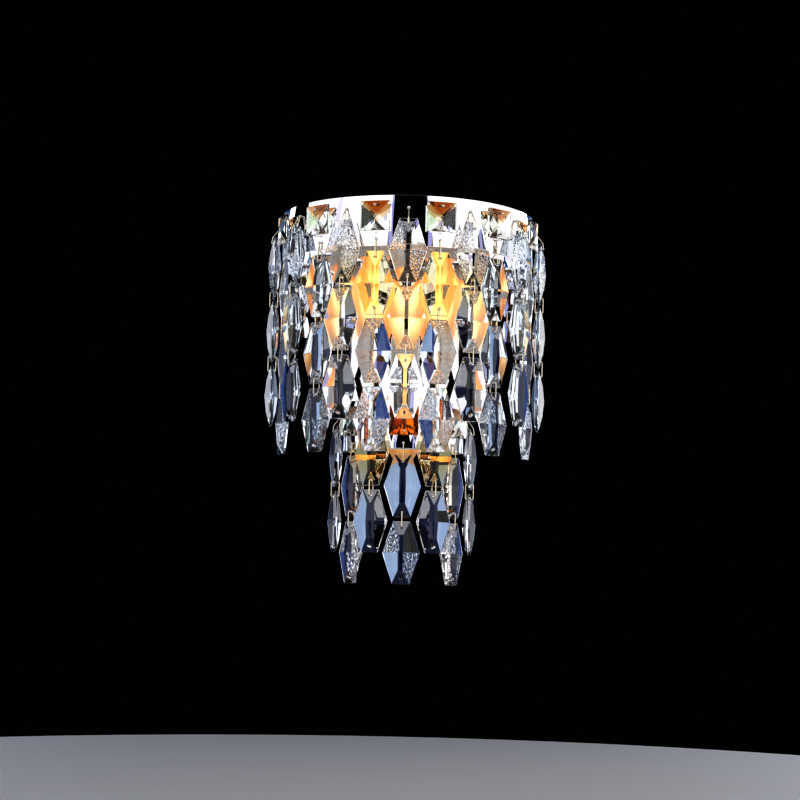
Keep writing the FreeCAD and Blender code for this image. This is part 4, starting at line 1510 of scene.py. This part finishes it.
@dataclass
class Fasteners:
    """Screws, studs and cap nuts, each along +Z from the sheet or the wall that it stands on."""

    plate_sheet: float = 1.2 * MM
    strip_sheet: float = 2 * MM
    screw_radius: float = 1.5 * MM
    screw_pitch: float = 0.7 * MM
    screw_thread: float = 0.3 * MM
    screw_tail: float = 2.5 * MM
    head_radius: float = 2.8 * MM
    head_height: float = 1.8 * MM
    head_rim: float = 0.25          # share of the head's height below its dome
    cross_arm: float = 1.5 * MM
    cross_half: float = 0.32 * MM   # half the width of the recess's arms
    cross_depth: float = 0.9 * MM
    stud_radius: float = 2 * MM
    stud_pitch: float = 0.8 * MM
    stud_thread: float = 0.35 * MM
    collar_radius: float = 3.6 * MM
    collar_height: float = 1.5 * MM
    nut_flats: float = 7 * MM
    nut_height: float = 3.2 * MM
    nut_chamfer: float = 0.35 * MM
    dome_radius: float = 3.3 * MM
    dome_height: float = 4 * MM
    dome_sunk: float = 0.2 * MM

    def screw(self, sheet: float) -> Piece:
        """A pan-head screw with a cross recess, through a sheet on the back plate's front.

        Args:
            sheet: The sheet's thickness.

        Returns:
            The screw, the plate's front at the origin.
        """
        tail, top = -self.plate_sheet - self.screw_tail, sheet + self.head_height
        root, radius = self.screw_radius - self.screw_thread, self.screw_radius
        rim = self.head_rim * self.head_height
        curve = dome(self.head_radius, sheet + rim, self.head_height - rim, 15)
        turns = range(int((sheet - tail) / self.screw_pitch))
        profile = [
            (0, tail), (root, tail), *thread(root, radius, tail, self.screw_pitch, turns), (radius, sheet),
            (self.head_radius, sheet), *curve, (0, top),
        ]
        screw = turned("screw", profile, 24)
        low, high = top - self.cross_depth, top + MM
        for x, y in ((self.cross_arm, self.cross_half), (self.cross_half, self.cross_arm)):
            cut_away(screw, [block("slot", Vector((-x, -y, low)), Vector((x, y, high)))])
        return smooth(screw)

    def stud(self, length: float) -> Piece:
        """A threaded stud with the collar that holds it in the wall strip.

        Args:
            length: From the wall to the stud's end.

        Returns:
            The stud, the wall at the origin.
        """
        collar, radius = self.strip_sheet + self.collar_height, self.stud_radius
        turns = range(1, int((length - collar) / self.stud_pitch) - 1)
        profile = [
            (0, 0), (radius, 0), (radius, self.strip_sheet), (self.collar_radius, self.strip_sheet),
            (self.collar_radius, collar), (radius, collar),
            *thread(radius - self.stud_thread, radius, collar, self.stud_pitch, turns),
            (radius, length), (0, length),
        ]
        return smooth(turned("stud", profile, 24))

    def cap_nut(self) -> Piece:
        """A domed cap nut: a hexagon with chamfered corners under a turned dome.

        Returns:
            The nut, its foot at the origin.
        """
        height, corner = self.nut_height, self.nut_flats / 2 / math.cos(math.pi / 6)
        hexagon = rounded(rod("nut", corner, height, UP * height / 2, UP, 6), self.nut_chamfer, 40, 3)
        cut_away(hexagon, [rod("drill", self.stud_radius, height, Vector(), UP)])
        foot = [(0, height - self.dome_sunk), (self.dome_radius, height - self.dome_sunk)]
        curve = dome(self.dome_radius, height, self.dome_height, 10)
        cap = turned("dome", [*foot, *curve, (0, height + self.dome_height)])
        return smooth(joined("cap_nut", [hexagon, cap]))


@dataclass
class Wiring:
    """Leads, grommets and the terminal block's screws, between the back plate and the lamps."""

    lamps: LampSet
    front: float                    # where the back plate's front lies
    plate_sheet: float = 1.2 * MM
    lead_radius: float = 1.1 * MM
    lead_spread: float = 2.4 * MM   # each upper lead beside the middle
    lead_run_out: float = 8 * MM    # straight out of the plate
    lead_run_in: float = 9 * MM     # straight into an upper holder
    lead_entry_drop: float = 12 * MM
    lead_bend: float = 12 * MM
    grommet_radius: float = 5.5 * MM
    grommet_bore: float = 4 * MM
    grommet_lip: float = 1.2 * MM
    grommet_slack: float = 0.1 * MM
    grommet_round: float = 0.45 * MM
    pole_depth: float = 3 * MM      # depth of the block's pockets
    pole_radius: float = 2.2 * MM
    pole_height: float = 1.2 * MM
    pole_chamfer: Corner = (0.85, 0.7)  # where it starts, as shares of radius and height
    slot_half: float = 0.3 * MM
    slot_floor: float = 0.4         # share of the screw's height

    def grommet(self) -> Piece:
        """A rubber ring in the plate's wiring hole, with a lip on either side of the sheet.

        Returns:
            The ring, the plate's front at the origin.
        """
        groove, lip = self.grommet_radius - self.grommet_slack, self.grommet_radius + self.grommet_lip
        bore, inner, outer = self.grommet_bore, -self.grommet_lip - self.plate_sheet, self.grommet_lip
        profile = [
            (bore, inner), (lip, inner), (lip, -self.plate_sheet), (groove, -self.plate_sheet),
            (groove, 0), (lip, 0), (lip, outer), (bore, outer), (bore, inner),
        ]
        return smooth(rounded(turned("grommet", profile, 32), self.grommet_round, segments=3))

    def grommet_places(self) -> list[Vector]:
        """Finds the middles of the two wiring holes.

        Returns:
            The upper and the lower one, on the plate's front.
        """
        low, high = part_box("wire_grommets")
        lip = self.grommet_radius + self.grommet_lip
        return [Vector((0, self.front, high.z - lip)), Vector((0, self.front, low.z + lip))]

    def leads(self) -> Piece:
        """The leads from the terminal block through the grommets to the lampholders' backs.

        Returns:
            All three leads.
        """
        low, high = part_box("terminal_block")
        upper, lower = self.grommet_places()
        left, right, lamp = self.lamps.places()
        inside, back = self.front / 2, lamp.y + self.lamps.holder_radius
        runs = [[(0, inside, low.z), (0, inside, lower.z), (0, back, lower.z)]]
        for lamp in (right, left):
            x, back = math.copysign(self.lead_spread, lamp.x), lamp.y + self.lamps.holder_radius
            entry = lamp.z - self.lead_entry_drop
            runs.insert(0, [
                (x, inside, high.z), (x, inside, upper.z), (x, self.front - self.lead_run_out, upper.z),
                (lamp.x, back + self.lead_run_in, entry), (lamp.x, back, entry),
            ])
        paths = [with_bends([Vector(corner) for corner in run], self.lead_bend, steps=10) for run in runs]
        return joined("leads", [bent_wire("lead", path, self.lead_radius) for path in paths])

    def pole_screws(self) -> Piece:
        """Slotted brass screws in the terminal block's three pockets, facing the wall.

        Returns:
            The screws.
        """
        low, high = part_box("terminal_block")
        radius, height, half = self.pole_radius, self.pole_height, self.slot_half
        across, up = self.pole_chamfer
        profile = [(0, 0), (radius, 0), (radius, height * up), (radius * across, height), (0, height)]
        screw, floor = turned("pole", profile, 24), height * self.slot_floor
        cut_away(screw, [block("slot", Vector((-radius, -half, floor)), Vector((radius, half, 2 * height)))])
        turn, pitch = Matrix.Rotation(-math.pi / 2, 4, "X"), (high.x - low.x) / 3
        y, z = high.y - self.pole_depth, (low.z + high.z) / 2
        places = [Matrix.Translation((way * pitch, y, z)) @ turn for way in (-1, 0, 1)]
        return smooth(repeated("pole_screws", screw, places))


@dataclass
class Backwork:
    """Everything against the wall: plate, strip, studs, nuts, brackets, screws and wiring."""

    tiers: Sequence[Tier]
    lamps: LampSet
    fasteners: Fasteners
    stud_spacing: float = 120 * MM
    flange_spacing: float = 10 * MM
    flange_height: float = 22 * MM

    def flange_screws(self, front: float) -> list[Vector]:
        """Finds where the brackets' flanges are screwed to the plate.

        Args:
            front: Where the plate's front lies.

        Returns:
            The four places.
        """
        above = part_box("upper_lamp_bracket")[1].z - self.flange_height / 2
        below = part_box("lower_lamp_bracket")[0].z + self.flange_height / 2
        return [Vector((side * self.flange_spacing / 2, front, z)) for z in (above, below) for side in WAYS]

    def build(self) -> None:
        """Builds every piece behind and between the bands."""
        for node, width, finish in (
            ("back_plate", 0.9 * MM, CHROME),
            ("wall_strip", 0.25 * MM, ZINC),
            ("upper_lamp_bracket", 0.3 * MM, ZINC),
            ("lower_lamp_bracket", 0.3 * MM, ZINC),
            ("terminal_block", 0.5 * MM, PLASTIC),
        ):
            dressed(softened(node, width), "rounded_" + node, finish, node)
        front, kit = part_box("back_plate")[0].y, self.fasteners
        wiring, length = Wiring(self.lamps, front), kit.nut_height - front
        studs = [Vector((side * self.stud_spacing / 2, 0, 0)) for side in WAYS]
        nuts = [Vector((stud.x, front, 0)) for stud in studs]
        tabs = [place for tier in self.tiers for place in tier.tab_screws()]
        band, bracket = self.tiers[0].wirework.band_sheet, self.lamps.shelf_sheet
        for pattern, places, name, finish, node in (
            (kit.stud(length), studs, "threaded_studs", ZINC, "strip_studs"),
            (kit.cap_nut(), nuts, "domed_cap_nuts", CHROME, "cap_nuts"),
            (kit.screw(band), tabs, "band_pan_screws", ZINC, "band_screws"),
            (kit.screw(bracket), self.flange_screws(front), "bracket_pan_screws", ZINC, "bracket_screws"),
            (wiring.grommet(), wiring.grommet_places(), "rubber_grommets", RUBBER, "wire_grommets"),
        ):
            outward = Matrix.Rotation(math.pi / 2, 4, "X")
            moves = [Matrix.Translation(place) @ outward for place in places]
            dressed(repeated("copies", pattern, moves), name, finish, node)
        dressed(wiring.leads(), "round_lamp_leads", SHEATH, "lamp_leads")
        dressed(wiring.pole_screws(), "terminal_pole_screws", BRASS)


# ------------------------------------------------------------------ studio

STEEL_BLUE, VIOLET = (0.50, 0.66, 0.95), (0.60, 0.58, 1.0)


@dataclass(frozen=True)
class SoftBox:
    """A soft rectangular light that faces the sconce. Azimuth 0 is in front of it and 90 on its right."""

    name: str
    azimuth: float
    rise: float
    distance: float
    width: float
    height: float
    radiance: float
    colour: Colour = (1, 1, 1)

    def build(self, target: Vector) -> None:
        """Adds the light.

        Args:
            target: What the light is aimed at.
        """
        turn = math.radians(self.azimuth)
        away = Vector((math.sin(turn) * self.distance, -math.cos(turn) * self.distance, self.rise))
        place = target + away
        aim = (target - place).to_track_quat("-Z", "Y").to_euler()
        deselect()
        bpy.ops.object.light_add(type="AREA", location=place, rotation=aim)
        lamp = bpy.context.object
        lamp.name, lamp.visible_camera = self.name, False
        lamp.data.shape = "RECTANGLE"
        lamp.data.size, lamp.data.size_y = self.width, self.height
        lamp.data.energy = self.radiance * math.pi * self.width * self.height
        lamp.data.color = self.colour


# Panels in front at both sides, strips behind at both sides, and two lights overhead
LIGHTS = (
    SoftBox("panel_left", -40, 0.25, 1.5, 1.26, 1.9, 1.25),
    SoftBox("panel_left_fade", -15.5, 0.25, 1.5, 0.10, 1.9, 0.75, VIOLET),
    SoftBox("panel_left_edge", -66, 0.25, 1.5, 0.21, 1.9, 0.95, (0.90, 0.84, 1.0)),
    SoftBox("panel_far_left", -88, 0.25, 1.5, 0.95, 1.9, 1.15, (0.97, 0.95, 1.0)),
    SoftBox("panel_right", 51.5, 0.25, 1.5, 1.76, 1.9, 1.25),
    SoftBox("panel_right_fade", 19.5, 0.25, 1.5, 0.10, 1.9, 0.75, VIOLET),
    SoftBox("panel_far_right", 112, 0.25, 1.5, 1.50, 1.9, 1.0, (1.0, 0.95, 0.93)),
    SoftBox("steel_left", -157, 0.25, 1.7, 0.20, 1.0, 0.68, STEEL_BLUE),
    SoftBox("navy_left", -146, -0.1, 1.7, 0.50, 1.6, 0.46, (0.16, 0.27, 0.64)),
    SoftBox("navy_back", 180, -0.1, 1.7, 0.9, 1.5, 0.06, (0.20, 0.30, 0.80)),
    SoftBox("white_left", -134, 0.1, 1.7, 0.32, 1.6, 1.9),
    SoftBox("steel_right", 156, 0.0, 1.7, 0.30, 1.5, 0.62, STEEL_BLUE),
    SoftBox("navy_right", 145, 0.1, 1.7, 0.36, 1.6, 0.42, (0.15, 0.25, 0.62)),
    SoftBox("white_right", 134, 0.1, 1.7, 0.42, 1.6, 1.9),
    SoftBox("overhead", 20, 1.7, 0.7, 1.6, 1.2, 0.7),
    SoftBox("overhead_back", 180, 1.5, 1.1, 1.6, 0.9, 0.6),
)


@dataclass
class Studio:
    """Floor, world, lights and camera."""

    target: Vector
    floor_height: float = -0.45
    floor_radius: float = 1.15
    world: Colour = (0.002, 0.002, 0.003)   # dark, so that clear glass reads against it
    eye: Vector = Vector((-3.5 * MM, -1469.5 * MM, -213.6 * MM))
    lens: float = 79.56
    sensor: float = 36
    pitch: float = 5.62
    roll: float = 1.29
    exposure: float = -0.6

    def build_floor(self) -> None:
        """A plain pale floor under the sconce."""
        disc = {"vertices": 128, "radius": self.floor_radius, "location": UP * self.floor_height}
        floor = added("studio_floor", bpy.ops.mesh.primitive_circle_add, fill_type="NGON", **disc)
        painted(floor, FLOOR)

    def build_camera(self) -> None:
        """The camera at the photograph's place, looking a little up and turned a little."""
        pitch, roll = math.radians(90 + self.pitch), math.radians(self.roll)
        aim = Matrix.Rotation(pitch, 4, "X") @ Matrix.Rotation(roll, 4, "Z")
        deselect()
        bpy.ops.object.camera_add()
        camera = bpy.context.object
        camera.name = "photograph_camera"
        camera.matrix_world = Matrix.Translation(self.eye) @ aim
        camera.data.lens, camera.data.sensor_width = self.lens, self.sensor
        bpy.context.scene.camera = camera

    def build(self) -> None:
        """Builds the whole studio."""
        self.build_floor()
        world = bpy.data.worlds.new("dark_studio")
        world.use_nodes = True
        fill(world.node_tree.nodes["Background"], {"Color": (*self.world, 1)})
        bpy.context.scene.world = world
        for light in LIGHTS:
            light.build(self.target)
        self.build_camera()
        view = bpy.context.scene.view_settings
        view.view_transform, view.look, view.exposure = "Standard", "Very High Contrast", self.exposure


def write_sizes() -> None:
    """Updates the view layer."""
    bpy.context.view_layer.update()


def main() -> None:
    """Builds the sconce piece by piece, then the studio round it."""
    logging.basicConfig(level=logging.INFO, format="%(name)s: %(message)s")
    wirework = Wirework(LongCrystal(), SquareCrystal())
    tiers = [Tier("upper", 3, wirework), Tier("lower", 2, wirework)]
    lamps = LampSet()
    CrystalCurtain(tiers, wirework).build()
    lamps.build()
    Backwork(tiers, lamps, Fasteners()).build()
    Studio((CAD_BOX[0] + CAD_BOX[1]) / 2).build()
    deselect()
    write_sizes()


if __name__ == "__main__":
    main()
